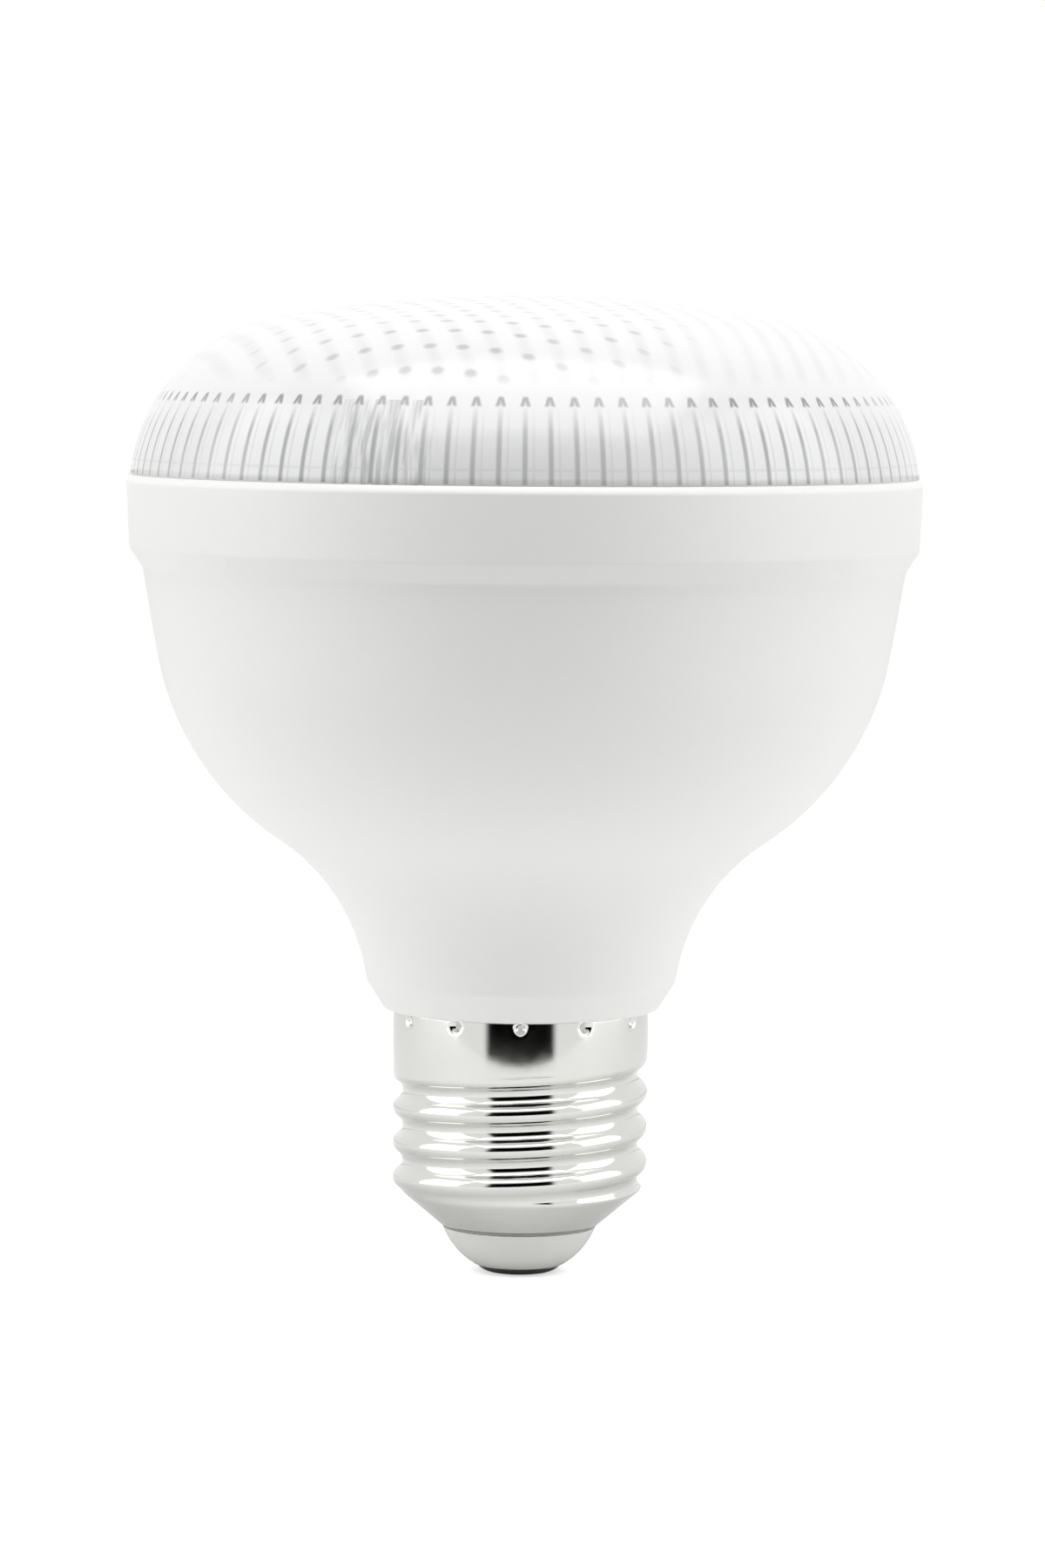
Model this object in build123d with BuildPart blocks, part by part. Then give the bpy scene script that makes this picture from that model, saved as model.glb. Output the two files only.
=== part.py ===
from build123d import *
import math
import os

os.makedirs("parts", exist_ok=True)

# A mains reflector lamp with a screw cap: a white bell housing, a clear prismatic lens and the
# driver inside. Millimetres, +Z from the cap to the lens, origin on the face of the centre contact.

# Gaps between pieces that seat, slide in or only pass each other
seat_gap = 0.3
fit_clearance = 0.1
pass_clearance = 0.15

# Centre contact and the insulator that carries it
contact_flat_radius = 2.8
contact_head_radius = 4.4
contact_head_height = 0.8
contact_shank_radius = 1.4
contact_bore_radius = 0.75
contact_bore_depth = 3.2
rivet_radius = 2.3
rivet_height = 0.7
insulator_height = 4.2
insulator_foot_radius = 4.6
insulator_radius = 7.9
insulator_bulge = 0.45
insulator_neck_radius = 7.5
insulator_flange_thickness = 1.1

# Screw shell with its rolled thread and crimped band
shell_wall = 0.35
shell_height = 22.3
cone_foot_radius = 8.2
cone_top_radius = 12.8
cone_height = 3.9
crest_radius = 13.1
thread_depth = 0.97
thread_pitch = 3.629
thread_sides = 48
thread_levels = 8
crest_height = 15.14
band_radius = 13.15
band_foot_height = 21.49
dent_count = 12
dent_radius = 0.75
dent_offset = 0.35
dent_drop = 0.7

# Housing: spigot, neck, bell and collar in one moulding
housing_wall = 1.8
spigot_wall = 1.4
neck_radius = 15.72
neck_edge_radius = 14.1
neck_edge_height = 2.9
bell_height = 45.2
bell_top_radius = 38.95
bell_side_length = 8.79
bell_draft = 9.73
bowl_radius = 28.85
collar_foot_radius = 40.3
collar_top_radius = 40.6
collar_height = 9.4
collar_chamfer_height = 2.0
collar_bevel_height = 0.75
collar_bevel_depth = 0.25
collar_bore_radius = 39.0
ledge_depth = 5.9

# Lens: smooth outside, notched and faceted inside
lens_rise = 18.25
lens_inset = 0.16
lens_wall = 1.9
dome_radius = 137.1
shoulder_radius = 18.13
skirt_wall = 1.4
flute_count = 100
flute_width = 0.87
flute_depth = 0.8
flute_foot_rise = 0.3
flute_height = 9.0
flute_point_length = 0.9
prism_pitch = 3.3
prism_relief = 1.0
prism_turn = 20
prism_field_inset = 0.4

# Heat sink, LED board and what the board carries
sink_thickness = 1.2
sink_skirt_wall = 1.0
sink_skirt_height = 26.0
sink_clearance = 0.2
wire_hole_radius = 4.0
led_board_thickness = 1.6
led_board_clearance = 1.4
led_length = 3.5
led_width = 2.8
led_height = 0.8
led_dish_depth = 0.2
led_dish_margin = 0.4
inner_ring_radius = 17.0
inner_ring_count = 10
outer_ring_radius = 29.0
outer_ring_count = 20
screw_circle_radius = 23.0
screw_count = 3
screw_radius = 1.45
screw_length = 5.0
screw_head_radius = 2.8
screw_head_height = 1.8
screw_head_rounding = 0.9
screw_slot_width = 0.7
screw_slot_depth = 0.9
terminal_reach = 7.2
terminal_length = 5.6
terminal_width = 6.4
terminal_height = 3.2
terminal_entry_depth = 3.0
terminal_slot_width = 1.2

# Driver board, the rails that hold it and its leads
driver_thickness = 1.6
driver_foot_rise = 5.2
tongue_height = 18.0
tongue_clearance = 1.2
driver_edge_clearance = 2.6
rail_reach = 1.2
rail_width = 4.4
rail_floor = 1.0
lead_radius = 0.65
lead_bend = 3.2
tail_bend = 1.6
solder_gap = 0.05
tail_spacing = 3.0

# Parts on the driver board
part_spacing = 1.0
capacitor_radius = 4.0
capacitor_height = 12.0
capacitor_end_clearance = 2.4
capacitor_groove_depth = 0.4
capacitor_groove_width = 1.0
capacitor_rounding = 0.4
core_width = 13.4
core_length = 12.0
core_thickness = 6.0
core_leg = 3.2
core_yoke = 1.8
core_gap = 0.1
bobbin_wall = 0.7
bobbin_half_depth = 6.3
winding_margin = 0.4
inductor_radius = 4.0
inductor_height = 8.0
inductor_flange = 1.2
inductor_waist_radius = 3.4
film_length = 10.0
film_width = 4.5
film_height = 8.0
package_length = 4.9
package_width = 3.9
package_lift = 0.1
leg_width = 0.4
leg_thickness = 0.2
leg_reach = 1.0
bridge_height = 2.4
bridge_leg_pitch = 2.5
ic_height = 1.5
ic_leg_pitch = 1.27
ic_reach = 5.5
diode_length = 3.6
diode_width = 4.3
diode_height = 2.2
diode_reach = 7.0
semiconductor_drop = 3.0
fuse_radius = 1.6
fuse_length = 9.0
fuse_cap_radius = 1.75
fuse_cap_length = 1.2
fuse_wire_radius = 0.3
fuse_wire_reach = 1.5
resistor_length = 3.2
resistor_width = 1.6
resistor_height = 0.6
resistor_pitch = 2.4

# Heights where one piece ends and the next begins
shell_foot_z = contact_head_height + insulator_height
shell_top_z = shell_foot_z + shell_height
collar_foot_z = shell_top_z + bell_height
collar_top_z = collar_foot_z + collar_height
lens_top_z = collar_top_z + lens_rise
ledge_z = collar_top_z - ledge_depth
sink_top_z = ledge_z + sink_thickness
led_board_top_z = sink_top_z + led_board_thickness
insulator_top_z = shell_foot_z + cone_height + insulator_flange_thickness
contact_top_z = insulator_top_z + rivet_height
spigot_foot_z = insulator_top_z + seat_gap
band_step_z = band_foot_height + thread_pitch / 4 + shell_wall
dent_z = shell_top_z - dent_drop
neck_floor_z = shell_top_z + housing_wall
driver_foot_z = spigot_foot_z + driver_foot_rise
driver_shoulder_z = driver_foot_z + tongue_height

# Radii of the faces that fit into each other
thread_bore_radius = crest_radius - thread_depth - shell_wall
band_bore_radius = band_radius - shell_wall
spigot_radius = thread_bore_radius - fit_clearance
spigot_band_radius = band_bore_radius - fit_clearance
spigot_bore_radius = spigot_radius - spigot_wall
skirt_radius = collar_bore_radius - pass_clearance
led_board_radius = skirt_radius - skirt_wall - led_board_clearance
screw_hole_radius = screw_radius + fit_clearance
lead_hole_radius = lead_radius + pass_clearance

# Bell outline: a drafted side, a bowl arc and a flare arc that ends upright at the neck
draft = math.radians(bell_draft)
side_down = Vector(-math.sin(draft), -math.cos(draft))
side_inward = Vector(-math.cos(draft), math.sin(draft))
bell_top = Vector(bell_top_radius, collar_foot_z)
bowl_centre = bell_top + side_down * bell_side_length + side_inward * bowl_radius
neck_reach = neck_radius - bowl_centre.X
neck_drop = bowl_centre.Y - shell_top_z
flare_radius = (neck_reach**2 + neck_drop**2 - bowl_radius**2) / (2 * (bowl_radius - neck_reach))
flare_centre = Vector(neck_radius + flare_radius, shell_top_z)

# Lens outline: a shallow dome and a shoulder arc tangent to it
dome_centre_z = lens_top_z - dome_radius
lens_widest_radius = collar_top_radius - lens_inset
shoulder_centre_r = lens_widest_radius - shoulder_radius
shoulder_centre_z = dome_centre_z + math.sqrt((dome_radius - shoulder_radius) ** 2 - shoulder_centre_r**2)
dome_slope = math.asin(shoulder_centre_r / (dome_radius - shoulder_radius))


def side_end(inset):
    """Foot of the bell's straight side, moved inward by inset."""
    return bowl_centre - side_inward * (bowl_radius - inset)


def side_point(height, inset):
    """Point of the straight side, or of its line carried on upward, at a height."""
    foot = side_end(inset)
    return Vector(foot.X + (height - foot.Y) * math.tan(draft), height)


def bowl_point(height, inset):
    """Point of the bowl arc at a height."""
    radius = bowl_radius - inset
    return Vector(bowl_centre.X + math.sqrt(radius**2 - (height - bowl_centre.Y) ** 2), height)


def flare_start(inset):
    """Point where the bowl arc turns into the flare arc."""
    return bowl_centre + (flare_centre - bowl_centre).normalized() * (bowl_radius - inset)


def flare_point(height, inset):
    """Point of the flare arc at a height."""
    radius = flare_radius + inset
    return Vector(flare_centre.X - math.sqrt(radius**2 - (height - flare_centre.Y) ** 2), height)


def draw_bell(start, foot, inset):
    """Draws the bell's outline from start on the side down to foot on the flare."""
    Line(start, side_end(inset))
    bowl = TangentArc(side_end(inset), flare_start(inset), tangent=side_down)
    TangentArc(flare_start(inset), foot, tangent=bowl % 1)


def lens_radius(height, inset):
    """Radius of the shoulder at a height, on a face that lies inset inside the outer one."""
    return shoulder_centre_r + math.sqrt((shoulder_radius - inset) ** 2 - (height - shoulder_centre_z) ** 2)


def lens_height(radius, inset):
    """Height of the lens at a radius, on a face that lies inset inside the outer one."""
    if radius < (dome_radius - inset) * math.sin(dome_slope):
        return dome_centre_z + math.sqrt((dome_radius - inset) ** 2 - radius**2)
    return shoulder_centre_z + math.sqrt((shoulder_radius - inset) ** 2 - (radius - shoulder_centre_r) ** 2)


def polar_point(radius, angle, height):
    """Point at a radius, an angle in degrees and a height."""
    return Vector(radius, 0, height).rotate(Axis.Z, angle)


def flat_face(*corners):
    """Flat face through the corners, leaving out a corner that repeats the one before."""
    kept = [corner for corner, before in zip(corners, corners[-1:] + corners[:-1]) if corner != before]
    return Face(Wire.make_polygon(kept))


def front_plane(x, z):
    """Plane on the front face of the driver board, its normal toward -Y and its y axis up."""
    return Plane((x, -driver_thickness / 2, z), x_dir=(1, 0, 0), z_dir=(0, -1, 0))


def back_plane(x, z):
    """Plane on the back face of the driver board, its normal toward +Y and its y axis up."""
    return Plane((x, driver_thickness / 2, z), x_dir=(-1, 0, 0), z_dir=(0, 1, 0))


# Lens: the outer form first, then the dome's prisms and the side's notches are cut from inside
skirt_foot_z = sink_top_z + seat_gap
flute_foot_z = collar_top_z + flute_foot_rise
flute_top_z = flute_foot_z + flute_height
prism_field_radius = lens_radius(flute_top_z, lens_wall) - prism_field_inset
flute_half_angle = math.degrees(flute_width / 2 / lens_widest_radius)


def flute_level(height, is_open):
    """Corners of the fluted core at one height, three for each notch, closed to one point at its ends."""
    land_radius = lens_radius(height, lens_wall)
    notch_radius = land_radius * (1 + flute_depth / lens_widest_radius * is_open)
    corners = []
    for flute in range(flute_count):
        middle = flute * 360 / flute_count
        corners.append(polar_point(land_radius, middle - flute_half_angle * is_open, height))
        corners.append(polar_point(notch_radius, middle, height))
        corners.append(polar_point(land_radius, middle + flute_half_angle * is_open, height))
    return corners


def flute_core():
    """Solid that leaves the lens's side with upright V notches, pointed at both ends."""
    levels = [
        flute_level(flute_foot_z, False),
        flute_level(flute_foot_z + flute_point_length, True),
        flute_level(flute_foot_z + flute_height / 2, True),
        flute_level(flute_top_z - flute_point_length, True),
        flute_level(flute_top_z, False),
    ]
    faces = [flat_face(*levels[0][::3]), flat_face(*levels[-1][::3])]
    for low, high in zip(levels, levels[1:]):
        for here in range(len(low)):
            after = (here + 1) % len(low)
            faces.append(flat_face(low[here], low[after], high[after], high[here]))
    return Solid(Shell(faces))


def cell_corners(column, row):
    """Grid places of a prism's four corners, counter-clockwise."""
    return [(column, row), (column + 1, row), (column + 1, row + 1), (column, row + 1)]


def prism_core():
    """Solid whose top is a square grid of pyramids laid along the inside of the dome."""
    reach = math.ceil(prism_field_radius / prism_pitch) + 1
    steps = range(-reach, reach)
    middle_limit = prism_field_radius / prism_pitch + math.sqrt(0.5)
    cells = [(c, r) for c in steps for r in steps if math.hypot(c + 0.5, r + 0.5) < middle_limit]
    corners = {}
    for place in {place for cell in cells for place in cell_corners(*cell)}:
        radius = prism_pitch * math.hypot(*place)
        angle = prism_turn + math.degrees(math.atan2(place[1], place[0]))
        corners[place] = polar_point(radius, angle, lens_height(radius, lens_wall))
    drop = Vector(0, 0, prism_relief)
    foot_z = min(corner.Z for corner in corners.values()) - 2 * prism_relief
    faces = []
    for column, row in cells:
        ring = [corners[place] for place in cell_corners(column, row)]
        low = [Vector(corner.X, corner.Y, foot_z) for corner in ring]
        tip = sum(ring, Vector()) * 0.25 - drop
        faces.append(flat_face(*low))
        for side, step in enumerate([(0, -1), (1, 0), (0, 1), (-1, 0)]):
            after = (side + 1) % 4
            faces.append(flat_face(ring[side], ring[after], tip))
            if (column + step[0], row + step[1]) not in cells:
                faces.append(flat_face(ring[side], ring[after], low[after], low[side]))
    return Solid(Shell(faces))


with BuildPart() as prism_field:
    add(prism_core())
    with BuildSketch(Plane.XY.offset(collar_top_z)):
        Circle(prism_field_radius)
    extrude(amount=lens_rise, mode=Mode.INTERSECT)

with BuildPart() as lens:
    with BuildSketch(Plane.XZ):
        with BuildLine():
            dome_end_r = dome_radius * math.sin(dome_slope)
            dome_end = (dome_end_r, dome_centre_z + dome_radius * math.cos(dome_slope))
            dome = TangentArc((0, lens_top_z), dome_end, tangent=(1, 0))
            shoulder = TangentArc(dome_end, (lens_radius(collar_top_z, 0), collar_top_z), tangent=dome % 1)
            Polyline(
                shoulder @ 1,
                (skirt_radius, collar_top_z),
                (skirt_radius, skirt_foot_z),
                (0, skirt_foot_z),
                (0, lens_top_z),
            )
        make_face()
    revolve(axis=Axis.Z)
    add(prism_field.part, mode=Mode.SUBTRACT)
    add(flute_core(), mode=Mode.SUBTRACT)
    with BuildSketch(Plane.XY.offset(skirt_foot_z)):
        Circle(skirt_radius - skirt_wall)
    extrude(amount=flute_foot_z - skirt_foot_z, mode=Mode.SUBTRACT)


def dent_spheres(radius, reach):
    """Spheres of the cap band's crimp dents, cut off at the band's ends and at a reach."""
    with BuildPart() as spheres:
        with Locations((0, 0, dent_z)):
            with PolarLocations(band_radius + dent_offset, dent_count, start_angle=-90):
                Sphere(radius)
        with BuildSketch(Plane.XY.offset(band_step_z)):
            Circle(reach)
        extrude(amount=shell_top_z - band_step_z, mode=Mode.INTERSECT)
    return spheres.part


# Housing
tail_y = driver_thickness / 2 + lead_radius + solder_gap
neutral_lead_z = band_step_z + lead_hole_radius + fit_clearance
neutral_end_y = math.sqrt(band_bore_radius**2 - (tail_spacing + lead_radius) ** 2) - solder_gap
neck_edge = flare_point(shell_top_z + neck_edge_height, 0)
inner_top = side_point(ledge_z, housing_wall)
inner_neck = flare_point(neck_floor_z, housing_wall)
tongue_width = 2 * (spigot_bore_radius - tongue_clearance)

with BuildPart() as housing:
    with BuildSketch(Plane.XZ):
        with BuildLine():
            Polyline(
                (spigot_bore_radius, neck_floor_z),
                (spigot_bore_radius, spigot_foot_z),
                (spigot_radius, spigot_foot_z),
                (spigot_radius, band_step_z + fit_clearance),
                (spigot_band_radius, band_step_z + fit_clearance),
                (spigot_band_radius, shell_top_z),
                (neck_edge_radius, shell_top_z),
                neck_edge,
            )
            draw_bell(bell_top, neck_edge, 0)
            Polyline(
                bell_top,
                (collar_foot_radius, collar_foot_z + collar_chamfer_height),
                (collar_top_radius, collar_top_z - collar_bevel_height),
                (collar_top_radius - collar_bevel_depth, collar_top_z),
                (collar_bore_radius, collar_top_z),
                (collar_bore_radius, ledge_z),
                inner_top,
            )
            draw_bell(inner_top, inner_neck, housing_wall)
            Line(inner_neck, (spigot_bore_radius, neck_floor_z))
        make_face()
    revolve(axis=Axis.Z)
    # Two rails hold the tongue of the driver board by its edges
    with BuildSketch(Plane.XY.offset(driver_foot_z - rail_floor)):
        Circle(spigot_bore_radius + spigot_wall / 2)
        Rectangle(2 * spigot_radius, rail_width, mode=Mode.INTERSECT)
        Rectangle(tongue_width - 2 * rail_reach, rail_width, mode=Mode.SUBTRACT)
    extrude(amount=neck_floor_z - driver_foot_z + rail_floor)
    with BuildSketch(Plane.XY.offset(driver_foot_z)):
        Rectangle(tongue_width + 2 * fit_clearance, driver_thickness + 2 * fit_clearance)
    extrude(amount=tongue_height, mode=Mode.SUBTRACT)
    # Passage of the neutral lead, and pockets behind the shell's dents
    with BuildSketch(Plane.XZ.offset(spigot_bore_radius / 2)):
        with Locations((-tail_spacing, neutral_lead_z)):
            Circle(lead_hole_radius)
    extrude(amount=spigot_radius, mode=Mode.SUBTRACT)
    add(dent_spheres(dent_radius + shell_wall + fit_clearance, band_radius), mode=Mode.SUBTRACT)

# Screw shell: the thread's wave is rolled round it, and a cone and a band close its ends
threaded_height = band_step_z - shell_foot_z
cone_slope = (cone_top_radius - cone_foot_radius) / cone_height
cone_lift = shell_wall * math.hypot(1, cone_slope) / cone_slope
thread_arc_radius = (thread_pitch**2 / 4 + thread_depth**2) / (4 * thread_depth)


def thread_radius(turn):
    """Radius of the rolled thread, in two tangent arcs, at a share of a turn from the crest."""
    from_crest = abs((turn + 0.5) % 1 - 0.5) * thread_pitch
    from_root = thread_pitch / 2 - from_crest
    if from_crest < from_root:
        return crest_radius - thread_arc_radius + math.sqrt(thread_arc_radius**2 - from_crest**2)
    return crest_radius - thread_depth + thread_arc_radius - math.sqrt(thread_arc_radius**2 - from_root**2)


def thread_level(height):
    """Corners of the thread at one height, where the crest lies further round the higher it is."""
    corners = []
    for side in range(thread_sides):
        from_crest = (height - crest_height) / thread_pitch - side / thread_sides
        corners.append(polar_point(thread_radius(from_crest), side * 360 / thread_sides, height))
    return corners


def thread_core():
    """Solid with the right-hand thread on its side, in facets between levels."""
    steps = math.ceil(threaded_height / thread_pitch * thread_levels)
    levels = [thread_level(shell_foot_z + threaded_height * step / steps) for step in range(steps + 1)]
    faces = [flat_face(*levels[0]), flat_face(*levels[-1])]
    for low, high in zip(levels, levels[1:]):
        for here in range(thread_sides):
            after = (here + 1) % thread_sides
            faces.append(flat_face(low[here], low[after], high[after]))
            faces.append(flat_face(low[here], high[after], high[here]))
    return Solid(Shell(faces))


with BuildPart() as band:
    with BuildSketch(Plane.XY.offset(shell_top_z)):
        Circle(band_radius)
    extrude(amount=-shell_height)
    band_tilt = math.degrees(math.atan(thread_pitch / 4 / band_radius))
    split(bisect_by=Plane((0, 0, band_foot_height)).rotated((0, -band_tilt, 0)), keep=Keep.TOP)

with BuildPart() as screw_shell:
    add(thread_core())
    with BuildSketch(Plane.XZ):
        with BuildLine():
            cone_end = cone_foot_radius + cone_slope * shell_height
            Polyline(
                (0, shell_foot_z),
                (cone_foot_radius, shell_foot_z),
                (cone_end, shell_top_z),
                (0, shell_top_z),
                close=True,
            )
        make_face()
    revolve(axis=Axis.Z, mode=Mode.INTERSECT)
    add(band.part)
    with BuildSketch(Plane.XZ):
        with BuildLine():
            bore_foot_z = shell_foot_z + cone_lift + (thread_bore_radius - cone_foot_radius) / cone_slope
            Polyline(
                (0, 0),
                (cone_foot_radius, 0),
                (cone_foot_radius, shell_foot_z + cone_lift),
                (thread_bore_radius, bore_foot_z),
                (thread_bore_radius, band_step_z),
                (band_bore_radius, band_step_z),
                (band_bore_radius, 2 * shell_top_z),
                (0, 2 * shell_top_z),
                close=True,
            )
        make_face()
    revolve(axis=Axis.Z, mode=Mode.SUBTRACT)
    add(dent_spheres(dent_radius + shell_wall, band_radius - shell_wall / 2))
    with Locations((0, 0, dent_z)):
        with PolarLocations(band_radius + dent_offset, dent_count, start_angle=-90):
            Sphere(dent_radius, mode=Mode.SUBTRACT)


def cone_seat_z(radius):
    """Height, at a radius, of the cone that lies a fit's clearance inside the shell's own."""
    seat_lift = fit_clearance * math.hypot(1, cone_slope) / cone_slope
    return shell_foot_z + cone_lift + seat_lift + (radius - cone_foot_radius) / cone_slope


# Insulator: its flange rests inside the shell's cone and its body shows below it
flange_radius = thread_bore_radius - fit_clearance
body_top_z = shell_foot_z - seat_gap
with BuildPart() as tip_insulator:
    with BuildSketch(Plane.XZ):
        with BuildLine():
            side_foot = (insulator_foot_radius, contact_head_height)
            side = SagittaArc(side_foot, (insulator_radius, body_top_z), -insulator_bulge)
            Polyline(
                side @ 1,
                (insulator_neck_radius, body_top_z),
                (insulator_neck_radius, cone_seat_z(insulator_neck_radius)),
                (flange_radius, cone_seat_z(flange_radius)),
                (flange_radius, insulator_top_z),
                (contact_shank_radius + fit_clearance, insulator_top_z),
                (contact_shank_radius + fit_clearance, contact_head_height),
                side @ 0,
            )
        make_face()
    revolve(axis=Axis.Z)

# Centre contact: a rivet headed below the insulator and flared above it, bored for the live lead
with BuildPart() as centre_contact:
    with BuildSketch(Plane.XZ):
        with BuildLine():
            Line((0, 0), (contact_flat_radius, 0))
            TangentArc((contact_flat_radius, 0), (contact_head_radius, contact_head_height), tangent=(1, 0))
            Polyline(
                (contact_head_radius, contact_head_height),
                (contact_shank_radius, contact_head_height),
                (contact_shank_radius, insulator_top_z),
                (rivet_radius, insulator_top_z),
                (contact_shank_radius, contact_top_z),
                (contact_bore_radius, contact_top_z),
                (contact_bore_radius, contact_top_z - contact_bore_depth),
                (0, contact_top_z - contact_bore_depth),
                (0, 0),
            )
        make_face()
    revolve(axis=Axis.Z)

# Heat sink: a flat plate on the housing's ledge with a skirt that follows the bell
sink_inset = housing_wall + sink_clearance
sink_foot_z = ledge_z - sink_skirt_height
with BuildPart() as heat_sink:
    with BuildSketch(Plane.XZ):
        with BuildLine():
            for inset in (sink_inset, sink_inset + sink_skirt_wall):
                Line(side_point(ledge_z, inset), side_end(inset))
                TangentArc(side_end(inset), bowl_point(sink_foot_z, inset), tangent=side_down)
            Line(bowl_point(sink_foot_z, sink_inset), bowl_point(sink_foot_z, sink_inset + sink_skirt_wall))
            Polyline(
                side_point(ledge_z, sink_inset + sink_skirt_wall),
                (0, ledge_z),
                (0, sink_top_z),
                (collar_bore_radius - seat_gap, sink_top_z),
                (collar_bore_radius - seat_gap, ledge_z),
                side_point(ledge_z, sink_inset),
            )
        make_face()
    revolve(axis=Axis.Z)
    with BuildSketch(Plane.XY.offset(ledge_z)):
        Circle(wire_hole_radius)
        with PolarLocations(screw_circle_radius, screw_count, start_angle=90):
            Circle(screw_hole_radius)
    extrude(amount=sink_thickness, mode=Mode.SUBTRACT)

# LED board
with BuildPart() as led_board:
    with BuildSketch(Plane.XY.offset(sink_top_z)):
        Circle(led_board_radius)
        Circle(wire_hole_radius, mode=Mode.SUBTRACT)
        with PolarLocations(screw_circle_radius, screw_count, start_angle=90):
            Circle(screw_hole_radius, mode=Mode.SUBTRACT)
    extrude(amount=led_board_thickness)

# LED chips in two rings, each with a shallow dish
led_rings = [(inner_ring_radius, inner_ring_count), (outer_ring_radius, outer_ring_count)]
with BuildPart() as led_chips:
    for ring_radius, ring_count in led_rings:
        with BuildSketch(Plane.XY.offset(led_board_top_z)):
            with PolarLocations(ring_radius, ring_count):
                Rectangle(led_width, led_length)
        extrude(amount=led_height)
        with BuildSketch(Plane.XY.offset(led_board_top_z + led_height)):
            with PolarLocations(ring_radius, ring_count):
                Rectangle(led_width - 2 * led_dish_margin, led_length - 2 * led_dish_margin)
        extrude(amount=-led_dish_depth, mode=Mode.SUBTRACT)

# Screws that clamp the LED board to the heat sink
with BuildPart() as board_screws:
    with BuildSketch(Plane.XY.offset(led_board_top_z)):
        with PolarLocations(screw_circle_radius, screw_count, start_angle=90):
            Circle(screw_radius)
    extrude(amount=-screw_length)
    with BuildSketch(Plane.XY.offset(led_board_top_z)):
        with PolarLocations(screw_circle_radius, screw_count, start_angle=90):
            Circle(screw_head_radius)
    extrude(amount=screw_head_height)
    fillet(board_screws.edges().group_by(Axis.Z)[-1], screw_head_rounding)
    with BuildSketch(Plane.XY.offset(led_board_top_z + screw_head_height)):
        with PolarLocations(screw_circle_radius, screw_count, start_angle=90):
            Rectangle(screw_slot_width, screw_head_radius)
            Rectangle(screw_head_radius, screw_slot_width)
    extrude(amount=-screw_slot_depth, mode=Mode.SUBTRACT)

# Lead terminal: two entries toward the wire hole and two release slots on top
terminal_middle_z = led_board_top_z + terminal_height / 2
terminal_slot_x = terminal_reach + terminal_entry_depth
with BuildPart() as lead_terminal:
    with BuildSketch(Plane.XY.offset(led_board_top_z)):
        with Locations((terminal_reach + terminal_length / 2, 0)):
            Rectangle(terminal_length, terminal_width)
    extrude(amount=terminal_height)
    with BuildSketch(Plane.YZ.offset(terminal_reach)):
        with Locations((-tail_y, terminal_middle_z), (tail_y, terminal_middle_z)):
            Circle(lead_hole_radius)
    extrude(amount=terminal_entry_depth, mode=Mode.SUBTRACT)
    with BuildSketch(Plane.XY.offset(led_board_top_z + terminal_height)):
        with Locations((terminal_slot_x, -tail_y), (terminal_slot_x, tail_y)):
            Rectangle(terminal_slot_width, terminal_slot_width)
    extrude(amount=-terminal_height / 4, mode=Mode.SUBTRACT)

# Stack of parts up the driver board: front side, then back side
input_capacitor_z = driver_shoulder_z + part_spacing + capacitor_radius
transformer_z = input_capacitor_z + capacitor_radius + part_spacing + core_length / 2
output_capacitor_z = transformer_z + core_length / 2 + part_spacing + capacitor_radius
driver_top_z = output_capacitor_z + capacitor_radius + part_spacing
film_capacitor_z = input_capacitor_z + inductor_radius + part_spacing + film_width / 2
driver_half_width = flare_point(driver_shoulder_z, housing_wall).X - driver_edge_clearance

with BuildPart() as driver_board:
    with BuildSketch(front_plane(0, 0)):
        with Locations((0, driver_foot_z)):
            Rectangle(tongue_width, tongue_height, align=(Align.CENTER, Align.MIN))
        with Locations((0, driver_shoulder_z)):
            stack_height = driver_top_z - driver_shoulder_z
            Rectangle(2 * driver_half_width, stack_height, align=(Align.CENTER, Align.MIN))
    extrude(amount=-driver_thickness)


def electrolytic(x, z, height):
    """Can capacitor on the front of the driver board, with the groove of its sealed end."""
    foot = front_plane(x, z)
    with BuildPart() as can:
        with BuildSketch(foot):
            Circle(capacitor_radius)
        extrude(amount=height)
        fillet(can.faces().sort_by(Axis.Y)[0].edges(), capacitor_rounding)
        with BuildSketch(foot.offset(capacitor_groove_width)):
            Circle(capacitor_radius)
            Circle(capacitor_radius - capacitor_groove_depth, mode=Mode.SUBTRACT)
        extrude(amount=capacitor_groove_width, mode=Mode.SUBTRACT)
    return can


def package(x, z, length, width, height, leg_count, leg_pitch):
    """Moulded package on the back of the driver board, with legs out of its two long sides."""
    with BuildPart() as moulding:
        with BuildSketch(back_plane(x, z).offset(package_lift)):
            Rectangle(length, width)
        extrude(amount=height)
        with BuildSketch(back_plane(x, z)):
            with GridLocations(leg_pitch, 1, leg_count, 1):
                Rectangle(leg_width, width + 2 * leg_reach)
        extrude(amount=leg_thickness)
    return moulding


input_height = (
    flare_point(input_capacitor_z - capacitor_radius, housing_wall).X
    - driver_thickness / 2
    - capacitor_end_clearance
)
input_capacitor = electrolytic(0, input_capacitor_z, input_height)
output_capacitor = electrolytic(-capacitor_radius - tail_spacing, output_capacitor_z, capacitor_height)
bridge_z = (neck_floor_z + driver_shoulder_z) / 2
semiconductor_z = output_capacitor_z - semiconductor_drop
bridge_rectifier = package(0, bridge_z, package_length, package_width, bridge_height, 2, bridge_leg_pitch)
driver_ic = package(-ic_reach, semiconductor_z, package_length, package_width, ic_height, 4, ic_leg_pitch)
output_diode = package(diode_reach, semiconductor_z, diode_length, diode_width, diode_height, 1, leg_width)

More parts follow.
